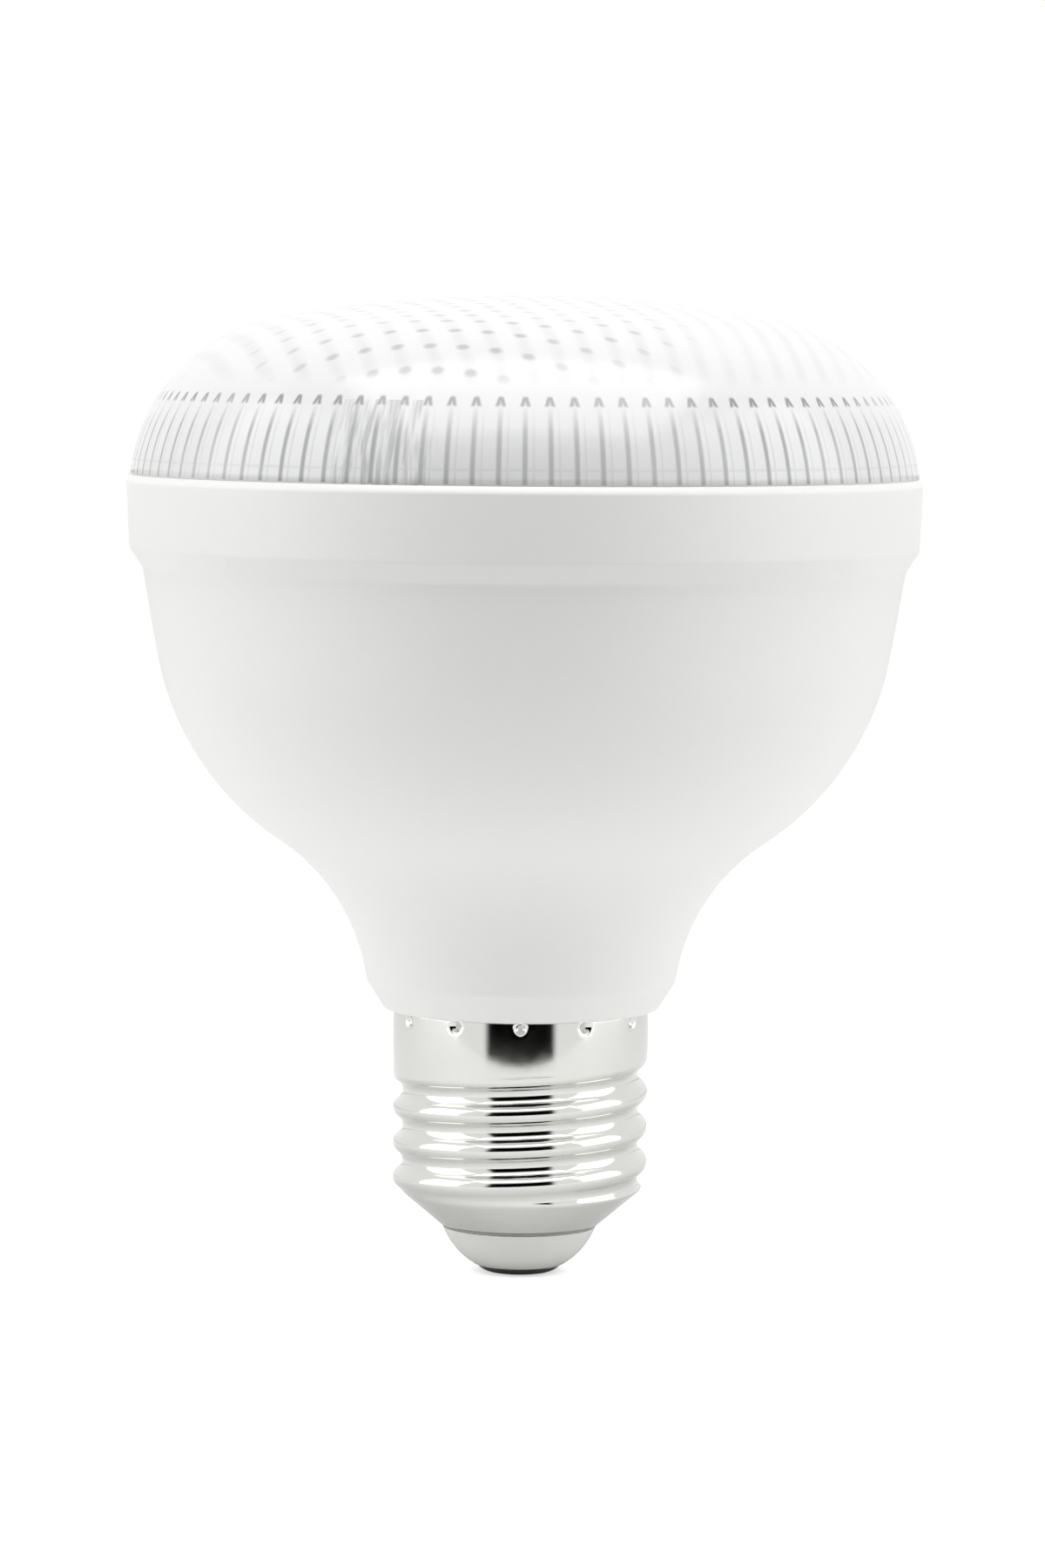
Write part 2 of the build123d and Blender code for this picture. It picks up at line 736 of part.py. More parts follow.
# Transformer: two E cores round the middle leg of a bobbin, and the winding on it
transformer_y = -driver_thickness / 2 - bobbin_half_depth
window_width = (core_width - core_leg) / 2 - core_yoke
window_height = core_length - 2 * core_yoke
with BuildPart() as transformer_core:
    with BuildSketch(Plane.XZ.offset(-transformer_y - core_thickness / 2)):
        with Locations((0, transformer_z)):
            Rectangle(core_width, core_length)
            Rectangle(core_width, core_gap, mode=Mode.SUBTRACT)
            with GridLocations(core_leg + window_width, 1, 2, 1):
                Rectangle(window_width, window_height, mode=Mode.SUBTRACT)
    extrude(amount=core_thickness)

bobbin_length = window_height - 2 * fit_clearance
bobbin_foot_z = transformer_z - bobbin_length / 2
tube_width = core_leg + 2 * (fit_clearance + bobbin_wall)
tube_depth = core_thickness + 2 * (fit_clearance + bobbin_wall)
with BuildPart() as transformer_bobbin:
    with BuildSketch(Plane.XY.offset(bobbin_foot_z)):
        with Locations((0, transformer_y)):
            Rectangle(tube_width, tube_depth)
    extrude(amount=bobbin_length)
    for flange_z in (bobbin_foot_z, bobbin_foot_z + bobbin_length - bobbin_wall):
        with BuildSketch(Plane.XY.offset(flange_z)):
            with Locations((0, transformer_y)):
                Rectangle(core_leg + 2 * (window_width - fit_clearance), 2 * bobbin_half_depth)
        extrude(amount=bobbin_wall)
    with BuildSketch(Plane.XY.offset(bobbin_foot_z)):
        with Locations((0, transformer_y)):
            Rectangle(core_leg + 2 * fit_clearance, core_thickness + 2 * fit_clearance)
    extrude(amount=bobbin_length, mode=Mode.SUBTRACT)

with BuildPart() as transformer_winding:
    winding_width = core_leg + 2 * (window_width - winding_margin)
    with BuildSketch(Plane.XY.offset(bobbin_foot_z + bobbin_wall + fit_clearance)):
        with Locations((0, transformer_y)):
            RectangleRounded(winding_width, 2 * (bobbin_half_depth - winding_margin), bobbin_wall)
            Rectangle(tube_width + 2 * fit_clearance, tube_depth + 2 * fit_clearance, mode=Mode.SUBTRACT)
    extrude(amount=bobbin_length - 2 * (bobbin_wall + fit_clearance))

# Filter inductor: a drum between two flanges
with BuildPart() as filter_inductor:
    drum_foot = back_plane(0, input_capacitor_z)
    with BuildSketch(drum_foot, drum_foot.offset(inductor_height - inductor_flange)):
        Circle(inductor_radius)
    extrude(amount=inductor_flange)
    with BuildSketch(drum_foot):
        Circle(inductor_waist_radius)
    extrude(amount=inductor_height)

# Film capacitor in its box
with BuildPart() as film_capacitor:
    with BuildSketch(back_plane(0, film_capacitor_z)):
        Rectangle(film_length, film_width)
    extrude(amount=film_height)
    fillet(film_capacitor.edges().filter_by(Axis.Y), capacitor_rounding)

# Fuse resistor with end caps, its wires bent down to the board
fuse_z = (driver_foot_z + neck_floor_z) / 2
fuse_y = driver_thickness / 2 + fuse_cap_radius + fit_clearance
fuse_wire_x = fuse_length / 2 + fuse_wire_reach
with BuildPart() as fuse_resistor:
    with BuildSketch(Plane.YZ.offset(-fuse_length / 2)):
        with Locations((fuse_y, fuse_z)):
            Circle(fuse_radius)
    extrude(amount=fuse_length)
    with BuildSketch(Plane.YZ.offset(-fuse_length / 2), Plane.YZ.offset(fuse_length / 2 - fuse_cap_length)):
        with Locations((fuse_y, fuse_z)):
            Circle(fuse_cap_radius)
    extrude(amount=fuse_cap_length)
    with BuildLine() as wire_route:
        FilletPolyline(
            (-fuse_wire_x, driver_thickness / 2, fuse_z),
            (-fuse_wire_x, fuse_y, fuse_z),
            (fuse_wire_x, fuse_y, fuse_z),
            (fuse_wire_x, driver_thickness / 2, fuse_z),
            radius=2 * fuse_wire_radius,
        )
    with BuildSketch(back_plane(-fuse_wire_x, fuse_z)):
        Circle(fuse_wire_radius)
    sweep(path=wire_route.line)

# Small resistors in a column on either side of the filter inductor
with BuildPart() as chip_resistors:
    with BuildSketch(back_plane(0, input_capacitor_z)):
        with GridLocations(2 * (driver_half_width - resistor_length), resistor_pitch, 2, 3):
            Rectangle(resistor_length, resistor_width)
    extrude(amount=resistor_height)


def lead(bend, *points):
    """Insulated lead along a route of straight runs and round bends."""
    with BuildPart() as insulated:
        with BuildLine() as route:
            FilletPolyline(*points, radius=bend)
        with BuildSketch(Plane(route.line @ 0, z_dir=route.line % 0)):
            Circle(lead_radius)
        sweep(path=route.line)
    return insulated


# Leads: one on each face of the driver board up to the terminal, and two down into the cap
lead_x = lead_radius + solder_gap
lead_foot_z = driver_top_z - 2 * lead_bend
terminal_stop = terminal_reach + terminal_entry_depth - fit_clearance
positive_lead = lead(
    lead_bend,
    (lead_x, -tail_y, lead_foot_z),
    (lead_x, -tail_y, terminal_middle_z),
    (terminal_stop, -tail_y, terminal_middle_z),
)
negative_lead = lead(
    lead_bend,
    (lead_x, tail_y, lead_foot_z),
    (lead_x, tail_y, terminal_middle_z),
    (terminal_stop, tail_y, terminal_middle_z),
)
live_lead = lead(
    tail_bend,
    (0, 0, contact_top_z - contact_bore_depth + seat_gap),
    (0, 0, contact_top_z + tail_bend),
    (tail_spacing, -tail_y, driver_foot_z - rail_floor),
    (tail_spacing, -tail_y, fuse_z),
)
neutral_lead = lead(
    tail_bend,
    (-tail_spacing, -tail_y, driver_foot_z + tail_spacing),
    (-tail_spacing, -tail_y, neutral_lead_z),
    (-tail_spacing, -neutral_end_y, neutral_lead_z),
)

pieces = {
    "lens": lens,
    "housing": housing,
    "heat_sink": heat_sink,
    "led_board": led_board,
    "led_chips": led_chips,
    "board_screws": board_screws,
    "lead_terminal": lead_terminal,
    "driver_board": driver_board,
    "input_capacitor": input_capacitor,
    "output_capacitor": output_capacitor,
    "filter_inductor": filter_inductor,
    "transformer_core": transformer_core,
    "transformer_bobbin": transformer_bobbin,
    "transformer_winding": transformer_winding,
    "bridge_rectifier": bridge_rectifier,
    "driver_ic": driver_ic,
    "output_diode": output_diode,
    "film_capacitor": film_capacitor,
    "fuse_resistor": fuse_resistor,
    "chip_resistors": chip_resistors,
    "positive_lead": positive_lead,
    "negative_lead": negative_lead,
    "live_lead": live_lead,
    "neutral_lead": neutral_lead,
    "screw_shell": screw_shell,
    "tip_insulator": tip_insulator,
    "centre_contact": centre_contact,
}
for name, piece in pieces.items():
    piece.part.label = name
    export_step(piece.part, f"parts/{name}.step")
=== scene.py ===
import math
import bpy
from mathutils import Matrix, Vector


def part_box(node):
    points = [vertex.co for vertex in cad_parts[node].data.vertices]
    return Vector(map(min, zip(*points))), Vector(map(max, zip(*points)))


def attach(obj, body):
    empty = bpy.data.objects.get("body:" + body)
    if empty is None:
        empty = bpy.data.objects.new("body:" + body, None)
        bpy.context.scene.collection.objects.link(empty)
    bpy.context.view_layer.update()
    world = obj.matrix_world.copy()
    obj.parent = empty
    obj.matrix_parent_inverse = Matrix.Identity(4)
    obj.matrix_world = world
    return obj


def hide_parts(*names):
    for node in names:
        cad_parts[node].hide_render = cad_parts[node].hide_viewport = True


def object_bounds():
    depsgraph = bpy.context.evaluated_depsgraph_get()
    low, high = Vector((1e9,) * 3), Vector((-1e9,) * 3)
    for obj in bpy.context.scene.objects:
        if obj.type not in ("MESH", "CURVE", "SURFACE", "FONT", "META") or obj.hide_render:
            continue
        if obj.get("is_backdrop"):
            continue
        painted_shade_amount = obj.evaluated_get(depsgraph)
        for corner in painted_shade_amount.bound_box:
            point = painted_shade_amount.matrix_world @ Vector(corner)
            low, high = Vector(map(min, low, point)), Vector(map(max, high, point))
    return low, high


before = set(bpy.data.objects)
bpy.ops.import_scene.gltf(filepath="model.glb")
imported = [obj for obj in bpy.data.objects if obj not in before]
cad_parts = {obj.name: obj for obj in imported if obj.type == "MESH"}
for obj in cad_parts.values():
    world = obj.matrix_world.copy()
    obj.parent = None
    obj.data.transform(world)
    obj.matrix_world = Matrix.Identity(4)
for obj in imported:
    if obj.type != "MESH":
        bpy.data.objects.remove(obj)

from types import SimpleNamespace

import bmesh
import bpy
from bpy.props import FloatProperty, FloatVectorProperty, IntProperty, PointerProperty
from mathutils import Matrix, Vector

bl_info = {
    "name": "Reflector Bulb Looks",
    "version": (1, 0, 0),
    "blender": (4, 5, 0),
    "location": "3D View > Sidebar > Bulb",
    "description": "Finishes and fine forms of a screw-cap reflector bulb with a prismatic lens",
    "category": "Object",
}

# Outlines and trees are worked out in millimetres, and MM turns them to the scene's metres
MM = 0.001
BODY = "root"

cad_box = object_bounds()
housing_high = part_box("housing")[1]
lens_low, lens_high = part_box("lens")
shell_low, shell_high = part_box("screw_shell")


def length(name, description, millimetres):
    """Length that a user may change, given in millimetres and kept in metres."""
    return FloatProperty(
        name=name, description=description, default=millimetres * MM, precision=5, unit="LENGTH"
    )


def angle(name, description, degrees):
    """Angle that a user may change, given in degrees."""
    return FloatProperty(name=name, description=description, default=math.radians(degrees), subtype="ANGLE")


def count(name, description, default, least):
    """Whole number that a user may change."""
    return IntProperty(name=name, description=description, default=default, min=least)


def linear(hexadecimal):
    """Linear light of a colour written as sRGB hex, such as "f2f2f0"."""
    parts = []
    for place in (0, 2, 4):
        share = int(hexadecimal[place : place + 2], 16) / 255
        parts.append(share / 12.92 if share <= 0.04045 else ((share + 0.055) / 1.055) ** 2.4)
    return tuple(parts)


def colour(name, description, default):
    """Surface colour, kept as linear light."""
    return FloatVectorProperty(
        name=name, description=description, default=linear(default), size=3, subtype="COLOR", min=0, max=1
    )


def in_millimetres(group):
    """A group's settings by name, with its lengths turned to millimetres."""
    values = SimpleNamespace()
    for name in type(group).__annotations__:
        value = getattr(group, name)
        if group.bl_rna.properties[name].unit == "LENGTH":
            value = value / MM if isinstance(value, float) else [part / MM for part in value]
        setattr(values, name, value)
    return values


class CapSizes(bpy.types.PropertyGroup):
    """Sizes of the rolled screw cap."""

    crest_radius: length("Crest Radius", "Radius over the thread's crests", 13.1)
    thread_depth: length("Thread Depth", "Depth from crest to root", 0.97)
    pitch: length("Pitch", "Rise of the thread in one turn", 3.629)
    crest_height: length("Crest Height", "Height of a crest on the +X side", 15.14)
    band_foot: length("Band Foot", "Height at the axis of the plane where the plain band starts", 21.49)
    band_bulge: length("Band Bulge", "Swell of the band's middle over its ends", 0.05)
    band_run_out: length("Band Run-out", "Height over which the thread fades into the band", 0.9)
    cone_top_radius: length("Cone Top Radius", "Radius at the top of the foot's cone", 12.8)
    cone_foot_radius: length("Cone Foot Radius", "Radius at the foot of the cone", 8.2)
    cone_height: length("Cone Height", "Height of the foot's cone", 3.9)
    edge_rounding: length("Edge Rounding", "Reach of the round where the cone meets the thread", 0.5)
    wall: length("Wall", "Thickness of the sheet", 0.33)
    dent_drop: length("Dent Drop", "Distance of the crimp dents below the band's top", 0.7)
    dent_reach: length("Dent Reach", "Radius of a crimp dent on the band", 0.66)
    dent_depth: length("Dent Depth", "Depth of a crimp dent", 0.5)
    dents: count("Dents", "Crimp dents round the band", 12, 3)
    sides: count("Sides", "Faces round the cap", 420, 48)
    rows: count("Rows", "Faces up the cap", 112, 24)


class HousingSizes(bpy.types.PropertyGroup):
    """Sizes of the white housing."""

    wall: length("Wall", "Thickness of the moulding", 1.8)
    spigot_radius: length("Spigot Radius", "Radius of the spigot inside the thread", 11.68)
    spigot_bore: length("Spigot Bore", "Radius of the spigot's bore", 10.28)
    spigot_rise: length("Spigot Rise", "Height of the spigot's foot over the cap's foot", 5.3)
    band_seat_radius: length("Band Seat Radius", "Radius of the spigot inside the band", 12.7)
    band_seat_height: length("Band Seat Height", "Height of the step up to the band's seat", 22.84)
    neck_edge_radius: length("Neck Edge Radius", "Radius of the neck's foot on the cap", 14.1)
    flare_centre_radius: length("Flare Centre Radius", "Radius at which the neck's arc is centred", 36.63)
    flare_radius: length("Flare Radius", "Radius of the neck's arc", 20.91)
    flare_end: angle("Flare End", "Where the neck's arc stops above the neck's foot", 8)
    flare_end_inside: angle("Flare End Inside", "Where the neck's arc stops inside", 4.6)
    bowl_centre_radius: length("Bowl Centre Radius", "Radius at which the bowl's arc is centred", 9.03)
    bowl_centre_height: length("Bowl Centre Height", "Height at which the bowl's arc is centred", 68.72)
    bell_height: length("Bell Height", "Height of the bell between the cap and the collar", 45.2)
    bell_top_radius: length("Bell Top Radius", "Radius of the bell below the collar", 38.95)
    draft: angle("Draft", "Lean of the bell's side", 9.73)
    chamfer_height: length("Chamfer Height", "Height of the chamfer under the collar", 2.0)
    collar_draft: length("Collar Draft", "How far the collar widens upwards", 0.3)
    bevel_height: length("Bevel Height", "Height of the bevel at the collar's top", 0.75)
    bevel_depth: length("Bevel Depth", "Depth of the bevel at the collar's top", 0.25)
    collar_bore: length("Collar Bore", "Radius of the bore that takes the lens", 39.0)
    ledge_depth: length("Ledge Depth", "Depth of the ledge under the collar's top", 5.9)
    edge_rounding: length("Edge Rounding", "Reach of the rounds on the moulded edges", 0.3)
    sides: count("Sides", "Faces round the housing", 256, 48)


class LensSizes(bpy.types.PropertyGroup):
    """Sizes of the clear lens, and the grey of the shade painted where it bends light."""

    wall: length("Wall", "Thickness of the moulding", 1.9)
    dome_radius: length("Dome Radius", "Radius of the shallow dome", 137.1)
    shoulder_radius: length("Shoulder Radius", "Radius of the arc from the dome to the rim", 18.13)
    skirt_radius: length("Skirt Radius", "Radius of the skirt inside the collar", 38.85)
    skirt_wall: length("Skirt Wall", "Thickness of the skirt", 1.4)
    notches: count("Notches", "Upright notches round the side", 100, 12)
    notch_width: FloatProperty(
        name="Notch Width", description="Width of a notch as a share of its spacing", default=0.36
    )
    notch_depth: length("Notch Depth", "Depth of a notch", 0.8)
    notch_rise: length("Notch Rise", "Height of the notches' foot over the collar", 0.3)
    notch_height: length("Notch Height", "Height of the notched side", 9.0)
    notch_point: length("Notch Point", "Height over which a notch comes to its point", 0.9)
    prism_pitch: length("Prism Pitch", "Spacing of the prisms in the dome", 3.3)
    prism_relief: length("Prism Relief", "Height of the prisms", 1.0)
    prism_turn: angle("Prism Turn", "Turn of the prism rows", -16)
    prism_start: FloatVectorProperty(
        name="Prism Start",
        description="Place of one prism on the dome",
        default=(-2.9 * MM, -32.5 * MM),
        size=2,
        precision=5,
        unit="LENGTH",
    )
    clear_tint: colour("Clear Tint", "Tint of the clear plastic", "ffffff")
    # Grey of the painted shade where the notches and prisms bend light
    painted_shade_tint: colour("Edge Tint", "Grey of the notches and prism edges seen through it", "9c9ea0")


class StageSettings(bpy.types.PropertyGroup):
    """Camera, lamps and floor."""

    camera_distance: length("Camera Distance", "Distance of the camera from the bulb's axis", 580)
    camera_height: length("Camera Height", "Height of the camera over the centre contact", 97)
    camera_pitch: angle("Camera Pitch", "Downward tilt", 4.6)
    camera_roll: angle("Camera Roll", "Turn about the line of sight", 0.45)
    focal_length: FloatProperty(
        name="Focal Length", description="Focal length of the camera's lens", default=130.3, unit="CAMERA"
    )
    floor_front: length("Floor Front", "How far the paper reaches toward the camera", 150)
    floor_reach: length("Floor Reach", "How far the paper reaches to the sides and back", 1200)
    floor_colour: colour("Floor", "Paper floor", "f7f7f7")
    floor_glow: FloatProperty(
        name="Floor Glow", description="Light added to the floor as the camera sees it", default=0.56, min=0
    )
    studio_level: FloatProperty(
        name="Studio Level", description="Light of the white studio on matt surfaces", default=0.51, min=0
    )


class BulbSettings(bpy.types.PropertyGroup):
    """All groups of settings."""

    cap: PointerProperty(type=CapSizes)
    housing: PointerProperty(type=HousingSizes)
    lens: PointerProperty(type=LensSizes)
    stage: PointerProperty(type=StageSettings)


def add_node(tree, kind, inputs=None, **settings):
    """Adds a node, sets its properties, and links or fills the inputs named."""
    node = tree.nodes.new(kind)
    for name, value in settings.items():
        setattr(node, name, value)
    for name, value in (inputs or {}).items():
        if isinstance(value, bpy.types.NodeSocket):
            tree.links.new(value, node.inputs[name])
        else:
            node.inputs[name].default_value = value
    return node


def work_out(tree, value, steps):
    """Adds a node for each step, which gives its result's name, its operation and the values it takes.

    RAMP takes a value, the ends of its range, and the results at those ends where they aren't 0 and 1.
    SMOOTH_RAMP is the same with a smooth start and end. All others are operations of the Math node.
    """
    for name, operation, *terms in steps:
        terms = [value.get(term, term) for term in terms]
        if operation in ("RAMP", "SMOOTH_RAMP"):
            sockets = dict(zip(("Value", "From Min", "From Max", "To Min", "To Max"), terms))
            kind = "LINEAR" if operation == "RAMP" else "SMOOTHSTEP"
            node = add_node(tree, "ShaderNodeMapRange", sockets, interpolation_type=kind)
        else:
            node = add_node(tree, "ShaderNodeMath", dict(enumerate(terms)), operation=operation)
        value[name] = node.outputs[0]


def new_material(name, **shader_inputs):
    """A material with one Principled shader, its fixed values set on its own sockets."""
    material = bpy.data.materials.new(name)
    material.use_nodes = True
    tree = material.node_tree
    tree.nodes.clear()
    shader = add_node(tree, "ShaderNodeBsdfPrincipled")
    for key, value in shader_inputs.items():
        shader.inputs[key.replace("_", " ").title().replace("Ior", "IOR")].default_value = value
    add_node(tree, "ShaderNodeOutputMaterial", {"Surface": shader.outputs["BSDF"]})
    return material, tree, shader


def grained(name, base, spread, grain_mm, bump_mm, roughness, roughness_spread, **extra):
    """Material whose colour, roughness and height all vary a little over one grain."""
    material, tree, shader = new_material(name, **extra)
    place = add_node(tree, "ShaderNodeTexCoord").outputs["Object"]
    grain = {"Vector": place, "Scale": 1 / (grain_mm * MM), "Detail": 3, "Roughness": 0.55}
    noise = add_node(tree, "ShaderNodeTexNoise", grain).outputs["Fac"]
    low = tuple(part * (1 - spread) for part in linear(base)) + (1,)
    high = tuple(min(1, part * (1 + spread)) for part in linear(base)) + (1,)
    # The Mix node's two colours are its inputs 6 and 7, and the mixed one is its output 2
    tint = add_node(tree, "ShaderNodeMix", {"Factor": noise, 6: low, 7: high}, data_type="RGBA").outputs[2]
    value = {"noise": noise}
    work_out(tree, value, (
        ("sheen", "RAMP", "noise", 0.0, 1.0, roughness - roughness_spread, roughness + roughness_spread),
    ))
    bump = add_node(tree, "ShaderNodeBump", {"Height": noise, "Distance": bump_mm * MM, "Strength": 1})
    tree.links.new(tint, shader.inputs["Base Color"])
    tree.links.new(value["sheen"], shader.inputs["Roughness"])
    tree.links.new(bump.outputs["Normal"], shader.inputs["Normal"])
    return material


def white_moulded_plastic():
    """Polycarbonate moulded in a fine spark-eroded tool: white, satin, with a soft broad highlight."""
    return grained("white_moulded_polycarbonate", "f1f1ef", 0.01, 0.35, 0.004, 0.42, 0.04, ior=1.585)


def prism_waves(lens):
    """Three waves per millimetre in x and y, and where each starts, whose sum peaks at each prism's tip."""
    waves = []
    for turn in (30, 90, 150):
        heading = lens.prism_turn + math.radians(turn)
        rate = 2 * math.tau / math.sqrt(3) / lens.prism_pitch
        along_x, along_y = rate * math.cos(heading), rate * math.sin(heading)
        start = -(along_x * lens.prism_start[0] + along_y * lens.prism_start[1])
        waves.append((along_x, along_y, start))
    return waves


def side_painted_shade(tree, value, lens):
    """Painted shade of the side: a grey line and arrow head where each notch bends light, its far flank, the
    ledge behind it and dark streaks in front of the terminal.
    """
    seat = housing_high.z / MM
    point = seat + lens.notch_rise + lens.notch_height
    # Half widths and blur of the marks, as shares of the notches' spacing
    line_half, arm_half, flank_half, blur = 0.095, 0.085, 1 / 14, 1 / 11
    # An arrow head starts a little below the notch's point, in millimetres, and spreads downwards
    head_drop, head_height, head_fade, head_spread = 0.7, 1.15, 0.25, 0.13
    # The line under it grows to its full grey between these two distances from the head's tip
    line_start, line_full = 0.9, 3.33
    # Middle and half width of the stretch in front of the terminal and its leads, where dark streaks are
    # painted as shade
    see_through_middle, see_through_half, see_through_fade = math.radians(-110.5), math.radians(8.5), math.radians(2.3)
    work_out(tree, value, (
        ("height", "DIVIDE", "up", MM),
        ("azimuth", "ARCTAN2", "north", "east"),
        ("turn", "MULTIPLY", "azimuth", lens.notches / math.tau),
        ("off", "WRAP", "turn", 0.5, -0.5),
        ("off_size", "ABSOLUTE", "off"),
        ("below", "SUBTRACT", point - head_drop, "height"),
        ("arm", "MULTIPLY", "below", head_spread),
        ("from_arm", "SUBTRACT", "off_size", "arm"),
        ("from_arm_size", "ABSOLUTE", "from_arm"),
        ("arm_mark", "RAMP", "from_arm_size", arm_half + blur / 2, arm_half - blur / 2),
        ("head_start", "RAMP", "below", 0.0, head_fade),
        ("head_end", "RAMP", "below", head_height, head_height - head_fade),
        ("head_range", "MULTIPLY", "head_start", "head_end"),
        ("head", "MULTIPLY", "arm_mark", "head_range"),
        ("line_mark", "RAMP", "off_size", line_half + blur / 2, line_half - blur / 2),
        ("line_grey", "RAMP", "below", line_start, line_full, 0.0, 0.85),
        ("over_collar", "GREATER_THAN", "height", seat + lens.notch_rise / 2),
        ("line_range", "MULTIPLY", "line_grey", "over_collar"),
        ("line", "MULTIPLY", "line_mark", "line_range"),
        ("notch", "MAXIMUM", "head", "line"),
        # The notch's far flank is a second, faint line of painted shade
        ("from_flank", "SUBTRACT", "off", 0.34),
        ("from_flank_size", "ABSOLUTE", "from_flank"),
        ("flank_mark", "RAMP", "from_flank_size", flank_half, 0.0, 0.0, 0.3),
        ("flank", "MULTIPLY", "flank_mark", "line_range"),
        ("upright", "MAXIMUM", "notch", "flank"),
        # The ledge behind the wall shows as a faint level line of painted shade
        ("from_ledge", "SUBTRACT", "height", seat + 1.55),
        ("from_ledge_size", "ABSOLUTE", "from_ledge"),
        ("ledge", "RAMP", "from_ledge_size", 0.2, 0.0, 0.0, 0.22),
        ("lines", "MAXIMUM", "upright", "ledge"),
        ("grain_round", "MULTIPLY", "azimuth", 46.0),
        ("grain_up", "MULTIPLY", "height", 0.13),
    ))
    # In front of the terminal and the leads the side is broken up by painted shade: upright dark streaks for
    # what is seen through it
    grain_place = add_node(
        tree, "ShaderNodeCombineXYZ", {"X": value["grain_round"], "Y": value["grain_up"]}
    ).outputs[0]
    grain = add_node(
        tree, "ShaderNodeTexNoise", {"Vector": grain_place, "Scale": 1.0, "Detail": 2.0, "Roughness": 0.7}
    )
    value["see_through_grain"] = grain.outputs["Fac"]
    work_out(tree, value, (
        ("see_through_mark", "RAMP", "see_through_grain", 0.46, 0.62, 0.0, 0.6),
        ("from_see_through", "SUBTRACT", "azimuth", see_through_middle),
        ("from_see_through_size", "ABSOLUTE", "from_see_through"),
        ("see_through_stretch", "RAMP", "from_see_through_size", see_through_half, see_through_half - see_through_fade),
        ("see_through_round", "MULTIPLY", "see_through_stretch", "see_through_mark"),
        ("under_heads", "LESS_THAN", "height", point - 1.2),
        ("see_through_shade", "MULTIPLY", "see_through_round", "under_heads"),
        ("side_painted_shade", "MAXIMUM", "lines", "see_through_shade"),
        ("on_side", "LESS_THAN", "height", point + 0.2),
        ("side", "MULTIPLY", "side_painted_shade", "on_side"),
    ))


def dome_painted_shade(tree, value, lens):
    """Painted shade of the dome: soft grey spots at the prisms' tips, and faint streaks along one of their
    rows, where the prisms bend light.
    """
    work_out(tree, value, (("x", "DIVIDE", "east", MM), ("y", "DIVIDE", "north", MM)))
    for name, (along_x, along_y, start) in zip("abc", prism_waves(lens)):
        work_out(tree, value, (
            (name + "_x", "MULTIPLY", "x", along_x),
            (name + "_y", "MULTIPLY_ADD", "y", along_y, name + "_x"),
            (name + "_phase", "ADD", name + "_y", start),
            (name + "_wave", "COSINE", name + "_phase"),
        ))
    # Reaches of the prisms over the whole dome, and of the patch at its front where their painted spots of
    # shade are plain
    for name, middle_x, middle_y in (("reach", 0.0, 0.0), ("patch_reach", -5.0, -20.0)):
        work_out(tree, value, (
            (name + "_x", "SUBTRACT", "x", middle_x),
            (name + "_y", "SUBTRACT", "y", middle_y),
            (name + "_x_squared", "MULTIPLY", name + "_x", name + "_x"),
            (name + "_squared", "MULTIPLY_ADD", name + "_y", name + "_y", name + "_x_squared"),
            (name, "SQRT", name + "_squared"),
        ))
    work_out(tree, value, (
        ("across_rows", "MULTIPLY", "b_wave", 1.7),
        ("ac", "ADD", "a_wave", "c_wave"),
        ("waves", "MULTIPLY_ADD", "ac", 0.62, "across_rows"),
        ("spot", "RAMP", "waves", 1.6, 2.76, 0.0, 0.58),
        ("patch", "RAMP", "patch_reach", 24.41, 15.24, 0.22, 1.0),
        ("spot_shown", "MULTIPLY", "spot", "patch"),
        # Faint painted shade of the prisms' facets along one of their rows
        ("facet_shade_streak", "MULTIPLY_ADD", "a_wave", 0.09, 0.03),
        ("prisms", "MAXIMUM", "spot_shown", "facet_shade_streak"),
        ("field", "RAMP", "reach", 36.3, 35.19),
        ("dome", "MULTIPLY", "prisms", "field"),
    ))


def clear_lens_plastic(lens):
    """Clear polycarbonate, slightly hazed: glassy outside, with grey shade painted where notches and prisms
    bend light.
    """
    material, tree, shader = new_material(
        "clear_moulded_polycarbonate", roughness=0.18, ior=1.585, transmission_weight=0.25
    )
    place = add_node(tree, "ShaderNodeTexCoord").outputs["Object"]
    parts = add_node(tree, "ShaderNodeSeparateXYZ", {0: place})
    value = dict(zip(("east", "north", "up"), parts.outputs))
    side_painted_shade(tree, value, lens)
    dome_painted_shade(tree, value, lens)
    # The painted shade of the prisms comes and goes over the dome, as the light in it does, and that of the
    # notches a little less
    grain = {"Vector": place, "Scale": 60.0, "Detail": 1.0, "Roughness": 0.55}
    value["drift"] = add_node(tree, "ShaderNodeTexNoise", grain).outputs["Fac"]
    work_out(tree, value, (
        ("side_drift", "RAMP", "drift", 0.35, 0.6, 0.6, 1.0),
        ("side_shown", "MULTIPLY", "side", "side_drift"),
        ("dome_drift", "RAMP", "drift", 0.35, 0.6, 0.4, 1.0),
        ("dome_shown", "MULTIPLY", "dome", "dome_drift"),
        ("painted_shade_amount", "MAXIMUM", "side_shown", "dome_shown"),
    ))
    # The clear tint turns toward the grey of the painted shade
    tints = {6: tuple(lens.clear_tint) + (1,), 7: tuple(lens.painted_shade_tint) + (1,)}
    tint = add_node(tree, "ShaderNodeMix", {"Factor": value["painted_shade_amount"], **tints}, data_type="RGBA").outputs[2]
    tree.links.new(tint, shader.inputs["Base Color"])
    return material


def nickel_plated_brass():
    """Thin brass sheet, rolled and bright nickel plated: a near mirror with a faint warm tint."""
    return grained("nickel_plated_brass", "dadad7", 0.02, 1.6, 0.002, 0.09, 0.03, metallic=1)


